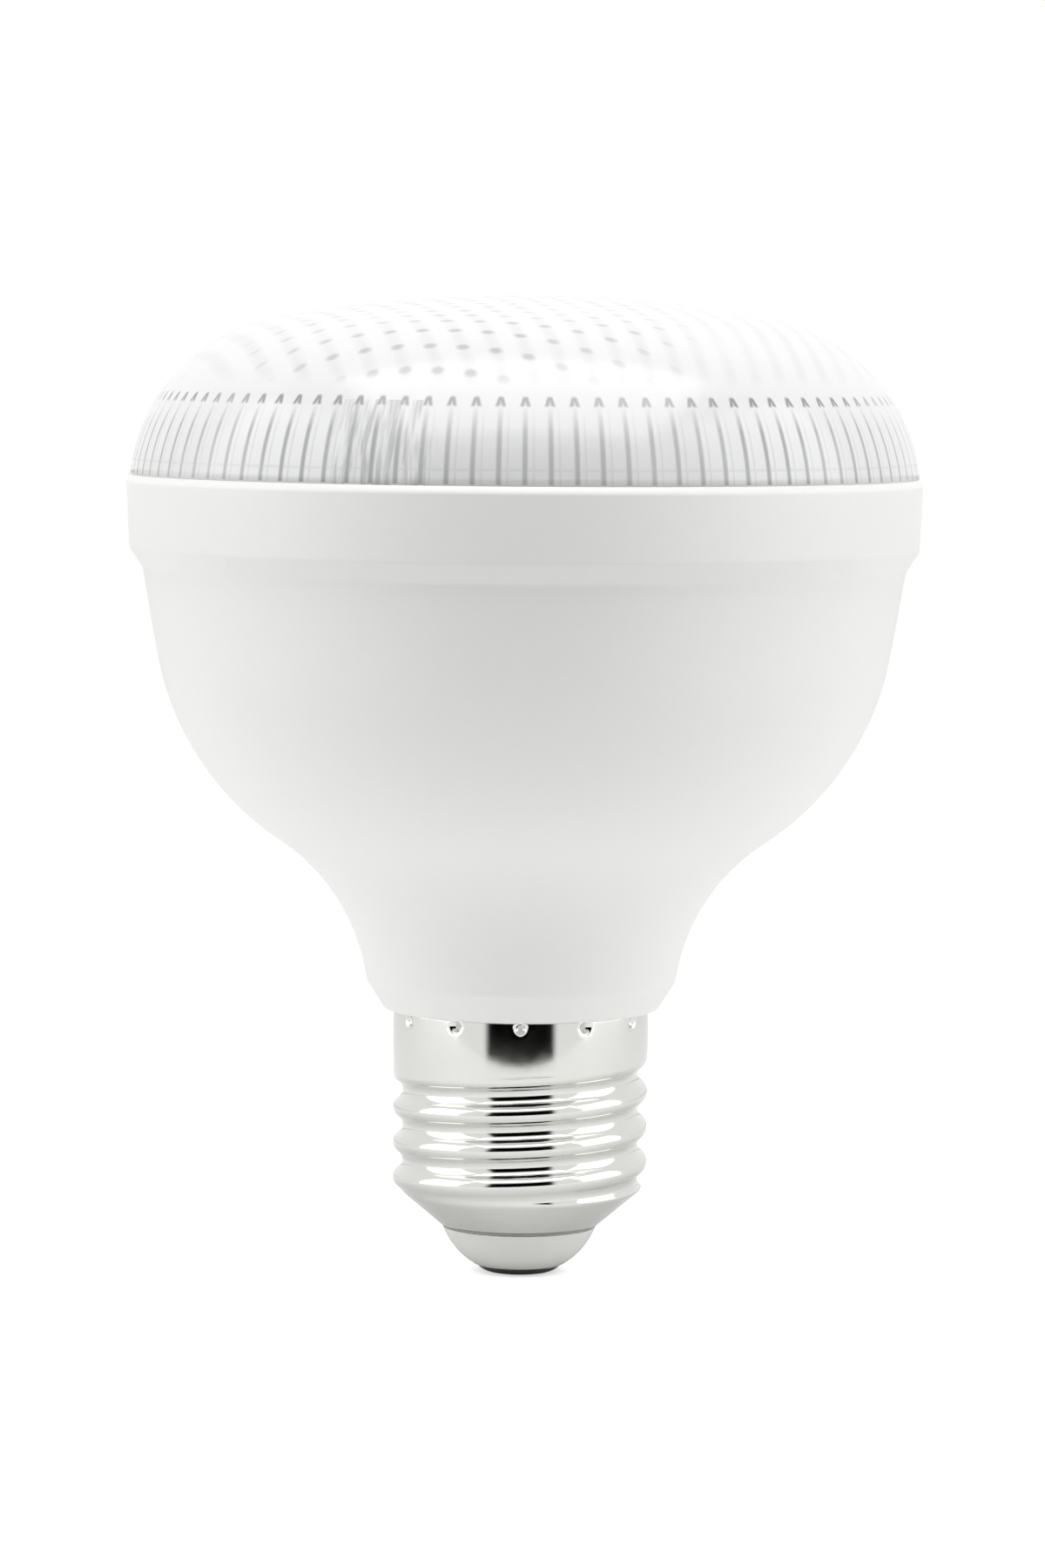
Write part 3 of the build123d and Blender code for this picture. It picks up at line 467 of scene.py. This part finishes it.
def assign(node_name, material):
    """Puts one material on a CAD node."""
    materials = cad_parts[node_name].data.materials
    materials.clear()
    materials.append(material)


def finish_piece(piece, replaced):
    """Rides the piece on the body and hides the CAD node it stands for."""
    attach(piece, BODY)
    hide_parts(replaced)


def new_piece(name, mesh):
    """Object of a mesh, at the origin."""
    piece = bpy.data.objects.new(name, mesh)
    bpy.context.scene.collection.objects.link(piece)
    return piece


def mesh_of_tree(name, tree, inputs):
    """Runs a Geometry Nodes tree with the inputs given and returns its result as a plain mesh object."""
    carrier = new_piece(name + "_carrier", bpy.data.meshes.new(name + "_carrier"))
    modifier = carrier.modifiers.new("Nodes", "NODES")
    modifier.node_group = tree
    for item in tree.interface.items_tree:
        if item.item_type == "SOCKET" and item.in_out == "INPUT" and item.name in inputs:
            modifier[item.identifier] = inputs[item.name]
    depsgraph = bpy.context.evaluated_depsgraph_get()
    mesh = bpy.data.meshes.new_from_object(carrier.evaluated_get(depsgraph), depsgraph=depsgraph)
    mesh.name = name
    bpy.data.objects.remove(carrier)
    return new_piece(name, mesh)


def turned_mesh(name, rings, sides, closed=True):
    """Piece made of rings stacked along an outline.

    A ring is a radius and height, or a function that gives them for each share of a turn.
    """
    shape = bmesh.new()
    levels = []
    for ring in rings:
        points = [ring(side / sides) if callable(ring) else ring for side in range(sides)]
        if points[0][0] == 0:
            levels.append([shape.verts.new((0, 0, points[0][1] * MM))] * sides)
            continue
        level = []
        for side, (radius, height) in enumerate(points):
            turn = math.tau * side / sides
            place = (radius * math.cos(turn) * MM, radius * math.sin(turn) * MM, height * MM)
            level.append(shape.verts.new(place))
        levels.append(level)
    pairs = list(zip(levels, levels[1:]))
    if closed:
        pairs.append((levels[-1], levels[0]))
    for lower, upper in pairs:
        for side in range(sides):
            after = (side + 1) % sides
            corners = (lower[side], lower[after], upper[after], upper[side])
            kept = [corner for place, corner in enumerate(corners) if corner != corners[place - 1]]
            if len(kept) > 2:
                shape.faces.new(kept).smooth = True
    bmesh.ops.recalc_face_normals(shape, faces=shape.faces)
    mesh = bpy.data.meshes.new(name)
    shape.to_mesh(mesh)
    shape.free()
    return new_piece(name, mesh)


def rounded(outline, steps=4):
    """Outline of (radius, height, rounding) points whose corners become arcs."""
    points = []
    for place, (radius, height, rounding) in enumerate(outline):
        corner = Vector((radius, height))
        if rounding == 0:
            points.append((radius, height))
            continue
        before = Vector(outline[place - 1][:2])
        after = Vector(outline[(place + 1) % len(outline)][:2])
        back = (before - corner).normalized()
        ahead = (after - corner).normalized()
        for step in range(steps + 1):
            share = step / steps
            start = corner + back * rounding * (1 - share)
            end = corner + ahead * rounding * share
            points.append(tuple(start.lerp(end, share)))
    return points


def arc_points(centre, radius, start, end, steps):
    """Points of an arc with no rounding; angles in degrees from the outward direction, up positive."""
    points = []
    for step in range(steps + 1):
        heading = math.radians(start + (end - start) * step / steps)
        points.append((centre[0] + radius * math.cos(heading), centre[1] + radius * math.sin(heading), 0))
    return points


def cap_tree(material):
    """Tree that rolls a grid into the cap: cone, thread, run-out, band and dents, in millimetres."""
    tree = bpy.data.node_groups.new("Rolled Screw Cap", "GeometryNodeTree")
    sizes = (
        "Crest Radius", "Thread Depth", "Pitch", "Crest Height", "Foot Height", "Top Height",
        "Band Radius", "Band Bulge", "Band Foot", "Band Run-out",
        "Cone Foot Radius", "Cone Slope", "Edge Rounding", "Dent Height", "Dent Reach", "Dent Depth",
    )
    for name in sizes:
        tree.interface.new_socket(name, in_out="INPUT", socket_type="NodeSocketFloat")
    for name in ("Dents", "Sides", "Rows"):
        tree.interface.new_socket(name, in_out="INPUT", socket_type="NodeSocketInt")
    tree.interface.new_socket("Geometry", in_out="OUTPUT", socket_type="NodeSocketGeometry")
    given = add_node(tree, "NodeGroupInput").outputs
    position = add_node(tree, "GeometryNodeInputPosition").outputs[0]
    place = add_node(tree, "ShaderNodeSeparateXYZ", {0: position})
    # A flat grid, one unit wide for one turn and as high as the cap, is wrapped round the axis
    value = {"share": place.outputs["X"], "rise": place.outputs["Y"]}
    value.update((socket.name, socket) for socket in given if socket.name)
    work_out(tree, value, (
        ("cap_height", "SUBTRACT", "Top Height", "Foot Height"),
        ("columns", "ADD", "Sides", 1.0),
        ("lines", "ADD", "Rows", 1.0),
        ("middle", "ADD", "Top Height", "Foot Height"),
        ("half_middle", "MULTIPLY", "middle", 0.5),
        ("z", "ADD", "rise", "half_middle"),
        ("angle", "MULTIPLY", "share", math.tau),
        ("cosine", "COSINE", "angle"),
        ("sine", "SINE", "angle"),
        # Thread: arcs that bulge at the crests and dip at the roots, climbing one pitch a turn
        ("over_crest", "SUBTRACT", "z", "Crest Height"),
        ("turns_up", "DIVIDE", "over_crest", "Pitch"),
        ("turn", "SUBTRACT", "turns_up", "share"),
        ("wrapped", "WRAP", "turn", 0.5, -0.5),
        ("turn_off", "ABSOLUTE", "wrapped"),
        ("from_crest", "MULTIPLY", "turn_off", "Pitch"),
        ("half_pitch", "MULTIPLY", "Pitch", 0.5),
        ("from_root", "SUBTRACT", "half_pitch", "from_crest"),
        ("half_pitch_squared", "POWER", "half_pitch", 2.0),
        ("depth_squared", "POWER", "Thread Depth", 2.0),
        ("squares", "ADD", "half_pitch_squared", "depth_squared"),
        ("four_depths", "MULTIPLY", "Thread Depth", 4.0),
        ("arc", "DIVIDE", "squares", "four_depths"),
        ("arc_squared", "POWER", "arc", 2.0),
        ("crest_off_squared", "POWER", "from_crest", 2.0),
        ("crest_left", "SUBTRACT", "arc_squared", "crest_off_squared"),
        ("crest_chord", "SQRT", "crest_left"),
        ("crest_sag", "SUBTRACT", "arc", "crest_chord"),
        ("crest_side", "SUBTRACT", "Crest Radius", "crest_sag"),
        ("root_off_squared", "POWER", "from_root", 2.0),
        ("root_left", "SUBTRACT", "arc_squared", "root_off_squared"),
        ("root_chord", "SQRT", "root_left"),
        ("root_sag", "SUBTRACT", "arc", "root_chord"),
        ("root_radius", "SUBTRACT", "Crest Radius", "Thread Depth"),
        ("root_side", "ADD", "root_radius", "root_sag"),
        ("in_root", "LESS_THAN", "from_root", "from_crest"),
        ("side_step", "SUBTRACT", "root_side", "crest_side"),
        ("side_part", "MULTIPLY", "side_step", "in_root"),
        ("thread", "ADD", "crest_side", "side_part"),
        # Band: the thread fades into it along a tilted line
        ("quarter_pitch", "MULTIPLY", "Pitch", 0.25),
        ("band_tilt", "MULTIPLY", "quarter_pitch", "cosine"),
        ("band_line", "ADD", "Band Foot", "band_tilt"),
        ("over_band", "SUBTRACT", "z", "band_line"),
        ("run", "DIVIDE", "over_band", "Band Run-out"),
        ("run_centred", "ADD", "run", 0.5),
        ("run_top", "MINIMUM", "run_centred", 1.0),
        ("fade", "MAXIMUM", "run_top", 0.0),
        ("fade_squared", "POWER", "fade", 2.0),
        ("fade_twice", "MULTIPLY", "fade", -2.0),
        ("fade_three", "ADD", "fade_twice", 3.0),
        ("smooth_fade", "MULTIPLY", "fade_squared", "fade_three"),
        ("band_middle_sum", "ADD", "Band Foot", "Top Height"),
        ("band_middle", "MULTIPLY", "band_middle_sum", 0.5),
        ("band_off", "SUBTRACT", "z", "band_middle"),
        ("band_half", "SUBTRACT", "Top Height", "band_middle"),
        ("band_share", "DIVIDE", "band_off", "band_half"),
        ("band_share_squared", "MULTIPLY", "band_share", "band_share"),
        ("band_drop", "MULTIPLY", "band_share_squared", "Band Bulge"),
        ("band_side", "SUBTRACT", "Band Radius", "band_drop"),
        ("band_step", "SUBTRACT", "band_side", "thread"),
        ("band_part", "MULTIPLY", "band_step", "smooth_fade"),
        ("wall_radius", "ADD", "thread", "band_part"),
        # Cone at the foot, met with a round
        ("over_foot", "SUBTRACT", "z", "Foot Height"),
        ("cone_part", "MULTIPLY", "over_foot", "Cone Slope"),
        ("cone", "ADD", "Cone Foot Radius", "cone_part"),
        ("outline", "SMOOTH_MIN", "wall_radius", "cone", "Edge Rounding"),
        # Crimp dents, round and evenly spaced
        ("dent_turn", "MULTIPLY", "share", "Dents"),
        ("dent_wrapped", "WRAP", "dent_turn", 0.5, -0.5),
        ("dent_share", "DIVIDE", "dent_wrapped", "Dents"),
        ("dent_angle", "MULTIPLY", "dent_share", math.tau),
        ("dent_across", "MULTIPLY", "dent_angle", "Band Radius"),
        ("dent_up", "SUBTRACT", "z", "Dent Height"),
        ("dent_across_squared", "POWER", "dent_across", 2.0),
        ("dent_up_squared", "MULTIPLY", "dent_up", "dent_up"),
        ("dent_distance_squared", "ADD", "dent_across_squared", "dent_up_squared"),
        ("dent_distance", "SQRT", "dent_distance_squared"),
        ("dent_off", "DIVIDE", "dent_distance", "Dent Reach"),
        ("dent_limit", "MINIMUM", "dent_off", 1.0),
        ("dent_square", "POWER", "dent_limit", 2.0),
        ("dent_left", "SUBTRACT", 1.0, "dent_square"),
        ("dent_in", "MULTIPLY", "dent_left", "Dent Depth"),
        ("radius", "SUBTRACT", "outline", "dent_in"),
        ("x", "MULTIPLY", "radius", "cosine"),
        ("y", "MULTIPLY", "radius", "sine"),
    ))
    grid = add_node(tree, "GeometryNodeMeshGrid", {
        "Size X": 1.0, "Size Y": value["cap_height"],
        "Vertices X": value["columns"], "Vertices Y": value["lines"],
    })
    rolled = add_node(tree, "ShaderNodeCombineXYZ", {"X": value["x"], "Y": value["y"], "Z": value["z"]})
    metres = add_node(tree, "ShaderNodeVectorMath", {0: rolled.outputs[0], "Scale": MM}, operation="SCALE")
    moved = add_node(
        tree, "GeometryNodeSetPosition", {"Geometry": grid.outputs["Mesh"], "Position": metres.outputs[0]}
    )
    # The grid's two ends meet in a seam, which is closed
    closed = add_node(
        tree, "GeometryNodeMergeByDistance", {"Geometry": moved.outputs[0], "Distance": 0.001 * MM}
    )
    smooth = add_node(tree, "GeometryNodeSetShadeSmooth", {0: closed.outputs[0]})
    realized = add_node(tree, "GeometryNodeRealizeInstances", {0: smooth.outputs[0]})
    coated = add_node(tree, "GeometryNodeSetMaterial", {0: realized.outputs[0], "Material": material})
    add_node(tree, "NodeGroupOutput", {0: coated.outputs[0]})
    return tree


class BULB_OT_screw_cap(bpy.types.Operator):
    """Rolls the nickel screw cap with its thread, band and crimp dents"""

    bl_idname = "bulb.screw_cap"
    bl_label = "Screw Cap"

    def execute(self, context):
        cap = in_millimetres(context.scene.bulb.cap)
        tree = cap_tree(nickel_plated_brass())
        foot, top = shell_low.z / MM, shell_high.z / MM
        inputs = {
            "Crest Radius": cap.crest_radius,
            "Thread Depth": cap.thread_depth,
            "Pitch": cap.pitch,
            "Crest Height": cap.crest_height,
            # A hair inside the solid's band
            "Band Radius": shell_high.x / MM - 0.01,
            "Band Bulge": cap.band_bulge,
            "Band Foot": cap.band_foot,
            "Band Run-out": cap.band_run_out,
            "Foot Height": foot,
            "Top Height": top,
            "Cone Foot Radius": cap.cone_foot_radius,
            "Cone Slope": (cap.cone_top_radius - cap.cone_foot_radius) / cap.cone_height,
            "Edge Rounding": cap.edge_rounding,
            "Dent Height": top - cap.dent_drop,
            "Dent Reach": cap.dent_reach,
            "Dent Depth": cap.dent_depth,
            "Dents": cap.dents,
            "Sides": cap.sides,
            "Rows": cap.rows,
        }
        piece = mesh_of_tree("rolled_screw_cap", tree, inputs)
        sheet = piece.modifiers.new("Sheet", "SOLIDIFY")
        sheet.thickness = cap.wall * MM
        sheet.offset = -1
        finish_piece(piece, "screw_shell")
        return {"FINISHED"}


class BULB_OT_housing(bpy.types.Operator):
    """Turns the white housing with its spigot, neck, bell and collar"""

    bl_idname = "bulb.housing"
    bl_label = "Housing"

    def execute(self, context):
        sizes = in_millimetres(context.scene.bulb.housing)
        edge = sizes.edge_rounding
        neck_foot = shell_high.z / MM
        spigot_foot = shell_low.z / MM + sizes.spigot_rise
        collar_foot = neck_foot + sizes.bell_height
        collar_top = housing_high.z / MM
        collar_radius = housing_high.x / MM
        ledge = collar_top - sizes.ledge_depth
        bowl = (sizes.bowl_centre_radius, sizes.bowl_centre_height)
        # The two arcs meet on the line through their centres
        flare = (sizes.flare_centre_radius, neck_foot + 0.01)
        turn = math.degrees(math.atan2(flare[1] - bowl[1], flare[0] - bowl[0]))
        bowl_radius = math.dist(bowl, flare) - sizes.flare_radius

        def bell(inset, top_point, flare_end):
            """Outline of the bell from its top down to the neck's foot."""
            down = arc_points(bowl, bowl_radius - inset, -math.degrees(sizes.draft), turn, 28)
            stop = 180 - math.degrees(flare_end)
            flared = arc_points(flare, sizes.flare_radius + inset, turn + 180, stop, 24)
            return [top_point] + down + flared[1:]

        outer = bell(0, (sizes.bell_top_radius, collar_foot, edge), sizes.flare_end)
        inner = bell(sizes.wall, (sizes.bell_top_radius - sizes.wall, ledge, 0), sizes.flare_end_inside)
        spigot = sizes.spigot_radius
        outline = [
            (spigot, spigot_foot, 0.2),
            (spigot, sizes.band_seat_height, 0.1),
            (sizes.band_seat_radius, sizes.band_seat_height, 0.1),
            (sizes.band_seat_radius, neck_foot, 0),
            (sizes.neck_edge_radius, neck_foot, edge),
            (*outer[-1][:2], edge),
        ]
        outline += outer[-2::-1]
        outline += [
            (collar_radius - sizes.collar_draft, collar_foot + sizes.chamfer_height, edge),
            (collar_radius, collar_top - sizes.bevel_height, 0.1),
            (collar_radius - sizes.bevel_depth, collar_top, 0),
            (sizes.collar_bore, collar_top, edge / 2),
            (sizes.collar_bore, ledge, 0),
        ]
        outline += inner
        outline += [(sizes.spigot_bore, inner[-1][1], 0), (sizes.spigot_bore, spigot_foot, 0)]
        piece = turned_mesh("bell_housing", rounded(outline), sizes.sides)
        piece.data.materials.append(white_moulded_plastic())
        finish_piece(piece, "housing")
        return {"FINISHED"}


class BULB_OT_lens(bpy.types.Operator):
    """Moulds the clear lens with its notched side and the honeycomb of soft prisms in its dome"""

    bl_idname = "bulb.lens"
    bl_label = "Lens"

    def execute(self, context):
        lens = in_millimetres(context.scene.bulb.lens)
        top = lens_high.z / MM
        seat = housing_high.z / MM
        foot = lens_low.z / MM
        shoulder, dome = lens.shoulder_radius, lens.dome_radius
        dome_centre = top - dome
        centre_radius = lens_high.x / MM - shoulder
        reach = dome - shoulder
        centre_height = dome_centre + math.sqrt(reach**2 - centre_radius**2)
        slope = centre_radius / reach
        dome_rows, shoulder_rows, side_rows, prism_rows = 16, 28, 30, 60

        def side_radius(height):
            """Radius of the inner wall at a height on the shoulder."""
            return centre_radius + math.sqrt((shoulder - lens.wall) ** 2 - (height - centre_height) ** 2)

        def inner_height(radius):
            """Height of the inner wall at a radius."""
            if radius < (dome - lens.wall) * slope:
                return dome_centre + math.sqrt((dome - lens.wall) ** 2 - radius**2)
            return centre_height + math.sqrt((shoulder - lens.wall) ** 2 - (radius - centre_radius) ** 2)

        def notched(height):
            """Ring of the side at a height, with its upright V notches."""
            rise = min(height - notch_foot, notch_top - height) / lens.notch_point
            opening = max(0.0, min(1.0, rise))
            land = side_radius(height)

            def ring(turn):
                """Radius and height at a share of a turn."""
                off = abs((turn * lens.notches + 0.5) % 1 - 0.5) / (lens.notch_width / 2)
                return land + lens.notch_depth * opening * max(0.0, 1 - off), height

            return ring

        def faceted(radius):
            """Ring of the dome at a radius, with its honeycomb of soft prisms."""
            height = inner_height(radius)
            # The prisms fade out over the last 0.6 mm before the side
            fade = min(1.0, (inner_radius - radius) / 0.6)

            def ring(turn):
                """Radius and height at a share of a turn; the three waves add up to between -1.5 and 3."""
                x, y = radius * math.cos(math.tau * turn), radius * math.sin(math.tau * turn)
                total = sum(math.cos(a * x + b * y + start) for a, b, start in waves)
                return radius, height - lens.prism_relief * fade * (total + 1.5) / 4.5

            return ring

        waves = prism_waves(lens)
        notch_foot = seat + lens.notch_rise
        notch_top = notch_foot + lens.notch_height
        inner_radius = side_radius(notch_top)
        join = math.asin(slope)
        rim = math.acos((seat - centre_height) / shoulder)
        rings = [(0, top)]
        for row in range(1, dome_rows + 1):
            lean = join * row / dome_rows
            rings.append((dome * math.sin(lean), dome_centre + dome * math.cos(lean)))
        for row in range(1, shoulder_rows + 1):
            lean = join + (rim - join) * row / shoulder_rows
            out, up = shoulder * math.sin(lean), shoulder * math.cos(lean)
            rings.append((centre_radius + out, centre_height + up))
        skirt_inside = lens.skirt_radius - lens.skirt_wall
        rings += [(lens.skirt_radius, seat), (lens.skirt_radius, foot)]
        rings += [(skirt_inside, foot), (skirt_inside, notch_foot)]
        for row in range(side_rows + 1):
            rings.append(notched(notch_foot + lens.notch_height * row / side_rows))
        for row in range(1, prism_rows):
            rings.append(faceted(inner_radius * (1 - row / prism_rows)))
        rings.append((0, inner_height(0) - lens.prism_relief))
        piece = turned_mesh("prismatic_lens", rings, 6 * lens.notches, closed=False)
        piece.data.materials.append(clear_lens_plastic(lens))
        finish_piece(piece, "lens")
        return {"FINISHED"}


class BULB_OT_tip(bpy.types.Operator):
    """Finishes the insulator and the centre contact at the cap's foot"""

    bl_idname = "bulb.tip"
    bl_label = "Insulator and Contact"

    def execute(self, context):
        # Pale glaze, smooth enough for a clear highlight
        assign("tip_insulator", grained("glazed_pale_insulator", "e6e6e3", 0.012, 1.2, 0.001, 0.25, 0.03))
        # Tinned sheet, finely pitted, its grey darkened as painted shade under the bulb
        contact = grained("tinned_contact_metal", "6c6a66", 0.05, 0.3, 0.003, 0.35, 0.08, metallic=1)
        assign("centre_contact", contact)
        return {"FINISHED"}


class BULB_OT_light_engine(bpy.types.Operator):
    """Finishes the heat sink, the LED board and what it carries"""

    bl_idname = "bulb.light_engine"
    bl_label = "Light Engine"

    def execute(self, context):
        # Plain aluminium, spun: a soft grey sheen
        assign("heat_sink", grained("spun_aluminium", "c4c6c8", 0.04, 0.6, 0.004, 0.35, 0.08, metallic=1))
        # White coat that throws the light back, with a faint gloss
        assign("led_board", grained("white_solder_mask", "f7f7f5", 0.02, 0.5, 0.002, 0.35, 0.05))
        # Phosphor in clear silicone: pale yellow and wet-looking
        assign("led_chips", grained("led_phosphor_silicone", "f3e7a8", 0.04, 0.3, 0.002, 0.3, 0.05))
        # Rolled screws with bright zinc: a grey half-gloss
        zinc = grained("zinc_plated_steel", "bcbcbb", 0.05, 0.3, 0.003, 0.3, 0.08, metallic=1)
        assign("board_screws", zinc)
        # Moulded nylon: off-white and satin
        assign("lead_terminal", grained("white_nylon", "e6e6e2", 0.02, 0.3, 0.003, 0.45, 0.05))
        return {"FINISHED"}


class BULB_OT_driver(bpy.types.Operator):
    """Finishes the driver board, its parts and its leads"""

    bl_idname = "bulb.driver"
    bl_label = "Driver"

    def execute(self, context):
        # Nodes, then material, colour, its spread, grain, bump, roughness and its spread
        finishes = (
            # Woven glass under a glossy green coat
            ("driver_board", "green_glass_fibre_laminate", "235c36", 0.08, 0.5, 0.004, 0.35, 0.06),
            # Shrunk film: tight, dark and shiny
            ("input_capacitor output_capacitor", "black_shrink_sleeve", "1d1f22", 0.1, 0.4, 0.002, 0.3, 0.05),
            # Pressed and fired powder: matt, dark grey and grainy
            ("filter_inductor transformer_core", "sintered_ferrite", "333336", 0.12, 0.2, 0.006, 0.6, 0.08),
            # Moulded phenolic: black with a dull shine
            ("transformer_bobbin", "black_moulded_phenolic", "202022", 0.1, 0.3, 0.003, 0.45, 0.06),
            # Film wrapped tight: bright yellow and smooth
            ("transformer_winding", "yellow_polyester_tape", "e6bd2e", 0.05, 0.8, 0.004, 0.28, 0.06),
            # Moulded epoxy: black, fine and almost matt
            (
                "bridge_rectifier driver_ic output_diode",
                "moulded_black_epoxy", "17171a", 0.1, 0.15, 0.004, 0.55, 0.06,
            ),
            # Moulded box: glossy brick red
            ("film_capacitor", "red_film_capacitor_box", "a83c22", 0.06, 0.5, 0.002, 0.3, 0.05),
            # Dipped coat: grey-green, uneven and half-gloss
            ("fuse_resistor", "pale_green_lacquer", "8fb09a", 0.06, 0.3, 0.004, 0.4, 0.06),
            # Glaze over fired ceramic: near black and shiny
            ("chip_resistors", "glazed_chip_ceramic", "222224", 0.08, 0.2, 0.002, 0.3, 0.05),
            # Extruded covers of the leads: even colour with a soft shine
            ("positive_lead live_lead", "red_lead_cover", "b3221b", 0.05, 0.4, 0.002, 0.38, 0.05),
            ("negative_lead neutral_lead", "black_lead_cover", "161618", 0.08, 0.4, 0.002, 0.38, 0.05),
        )
        for nodes, *finish in finishes:
            material = grained(*finish)
            for node in nodes.split():
                assign(node, material)
        return {"FINISHED"}


class BULB_OT_stage(bpy.types.Operator):
    """Sets the floor, the white studio with its dark camera side, the lamps and the camera"""

    bl_idname = "bulb.stage"
    bl_label = "Stage"

    def execute(self, context):
        settings = in_millimetres(context.scene.bulb.stage)
        scene = context.scene
        scene.view_settings.view_transform = "Standard"

        # The paper ends a hand's breadth in front of the bulb, where the studio is dark
        front, reach = -settings.floor_front * MM, settings.floor_reach * MM
        corners = [(-reach, front, 0), (reach, front, 0), (reach, reach, 0), (-reach, reach, 0)]
        mesh = bpy.data.meshes.new("paper_floor")
        mesh.from_pydata(corners, [], [(0, 1, 2, 3)])
        floor = new_piece("paper_floor", mesh)
        # Uncoated paper: flat white, with a glow that only the camera and the lens see
        material, tree, shader = new_material(
            "matt_white_paper", roughness=0.9, base_color=tuple(settings.floor_colour) + (1,)
        )
        path = add_node(tree, "ShaderNodeLightPath").outputs
        value = {"camera": path["Is Camera Ray"], "through": path["Is Transmission Ray"]}
        work_out(tree, value, (
            ("seen", "MAXIMUM", "camera", "through"),
            ("glow", "MULTIPLY", "seen", settings.floor_glow),
        ))
        glow = add_node(tree, "ShaderNodeEmission", {"Color": (1, 1, 1, 1), "Strength": value["glow"]})
        both = add_node(tree, "ShaderNodeAddShader", {0: shader.outputs[0], 1: glow.outputs[0]})
        output = next(node for node in tree.nodes if node.type == "OUTPUT_MATERIAL")
        tree.links.new(both.outputs[0], output.inputs["Surface"])
        mesh.materials.append(material)
        floor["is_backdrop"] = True

        # White studio all round, also in mirror reflections, and dark where the camera stands
        world = bpy.data.worlds.new("white_studio")
        scene.world = world
        world.use_nodes = True
        tree = world.node_tree
        tree.nodes.clear()
        way = add_node(tree, "ShaderNodeTexCoord")
        parts = add_node(tree, "ShaderNodeSeparateXYZ", {0: way.outputs["Generated"]})
        path = add_node(tree, "ShaderNodeLightPath").outputs
        value = dict(zip(("east", "north", "up"), parts.outputs))
        value["camera"] = path["Is Camera Ray"]
        value["through"] = path["Is Transmission Ray"]
        value["glossy"] = path["Is Glossy Ray"]
        work_out(tree, value, (
            ("south", "MULTIPLY", "north", -1.0),
            ("azimuth", "ARCTAN2", "east", "south"),
            ("sideways", "ABSOLUTE", "azimuth"),
            ("beside", "SMOOTH_RAMP", "sideways", math.radians(27), math.radians(34)),
            ("above", "SMOOTH_RAMP", "up", 0.5, 0.62),
            ("lit", "MAXIMUM", "beside", "above"),
            ("matt", "MULTIPLY", "lit", settings.studio_level),
            ("mirrored", "MULTIPLY", "lit", "glossy"),
            ("seen", "MAXIMUM", "camera", "through"),
            ("white", "MAXIMUM", "seen", "mirrored"),
            ("level", "MAXIMUM", "matt", "white"),
        ))
        light = {"Color": (1, 1, 1, 1), "Strength": value["level"]}
        background = add_node(tree, "ShaderNodeBackground", light)
        add_node(tree, "ShaderNodeOutputWorld", {"Surface": background.outputs[0]})

        # Name, place and size in metres, and power in watts
        lamps = (
            ("left_softbox", (-0.56, -0.1, 0.2), (0.5, 0.7), 1.24),
            ("right_softbox", (0.56, -0.1, 0.2), (0.5, 0.7), 1.24),
            ("top_softbox", (0, -0.2, 0.64), (0.8, 0.6), 3.15),
        )
        middle = Vector((0, 0, 0.055))
        for name, place, size, power in lamps:
            lamp = bpy.data.lights.new(name, "AREA")
            lamp.shape = "RECTANGLE"
            lamp.size, lamp.size_y = size
            lamp.energy = power
            holder = new_piece(name, lamp)
            holder.location = place
            holder.rotation_euler = (middle - Vector(place)).to_track_quat("-Z", "Y").to_euler()

        camera = bpy.data.cameras.new("photo_camera")
        camera.lens = settings.focal_length
        camera.sensor_width = 36
        camera.clip_start = 0.01
        eye = new_piece("photo_camera", camera)
        eye.matrix_world = (
            Matrix.Translation((0, -settings.camera_distance * MM, settings.camera_height * MM))
            @ Matrix.Rotation(math.pi / 2 - settings.camera_pitch, 4, "X")
            @ Matrix.Rotation(settings.camera_roll, 4, "Z")
        )
        scene.camera = eye
        return {"FINISHED"}


OPERATORS = (
    BULB_OT_stage,
    BULB_OT_housing,
    BULB_OT_lens,
    BULB_OT_screw_cap,
    BULB_OT_tip,
    BULB_OT_light_engine,
    BULB_OT_driver,
)


class BULB_PT_looks(bpy.types.Panel):
    """Buttons for the stage and each group of pieces"""

    bl_label = "Reflector Bulb"
    bl_idname = "BULB_PT_looks"
    bl_space_type = "VIEW_3D"
    bl_region_type = "UI"
    bl_category = "Bulb"

    def draw(self, context):
        for operator in OPERATORS:
            self.layout.operator(operator.bl_idname)


CLASSES = (CapSizes, HousingSizes, LensSizes, StageSettings, BulbSettings) + OPERATORS + (BULB_PT_looks,)


def register():
    """Adds the classes and the scene's settings."""
    for kind in CLASSES:
        bpy.utils.register_class(kind)
    bpy.types.Scene.bulb = PointerProperty(type=BulbSettings)


def unregister():
    """Takes them away again."""
    del bpy.types.Scene.bulb
    for kind in reversed(CLASSES):
        bpy.utils.unregister_class(kind)


def main():
    """Builds everything in order."""
    register()
    bpy.ops.bulb.stage()
    bpy.ops.bulb.housing()
    bpy.ops.bulb.lens()
    bpy.ops.bulb.screw_cap()
    bpy.ops.bulb.tip()
    bpy.ops.bulb.light_engine()
    bpy.ops.bulb.driver()
    boxes = {"cad": cad_box, "visual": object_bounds()}
    {name: [list(corner) for corner in box] for name, box in boxes.items()}


if __name__ == "__main__":
    main()
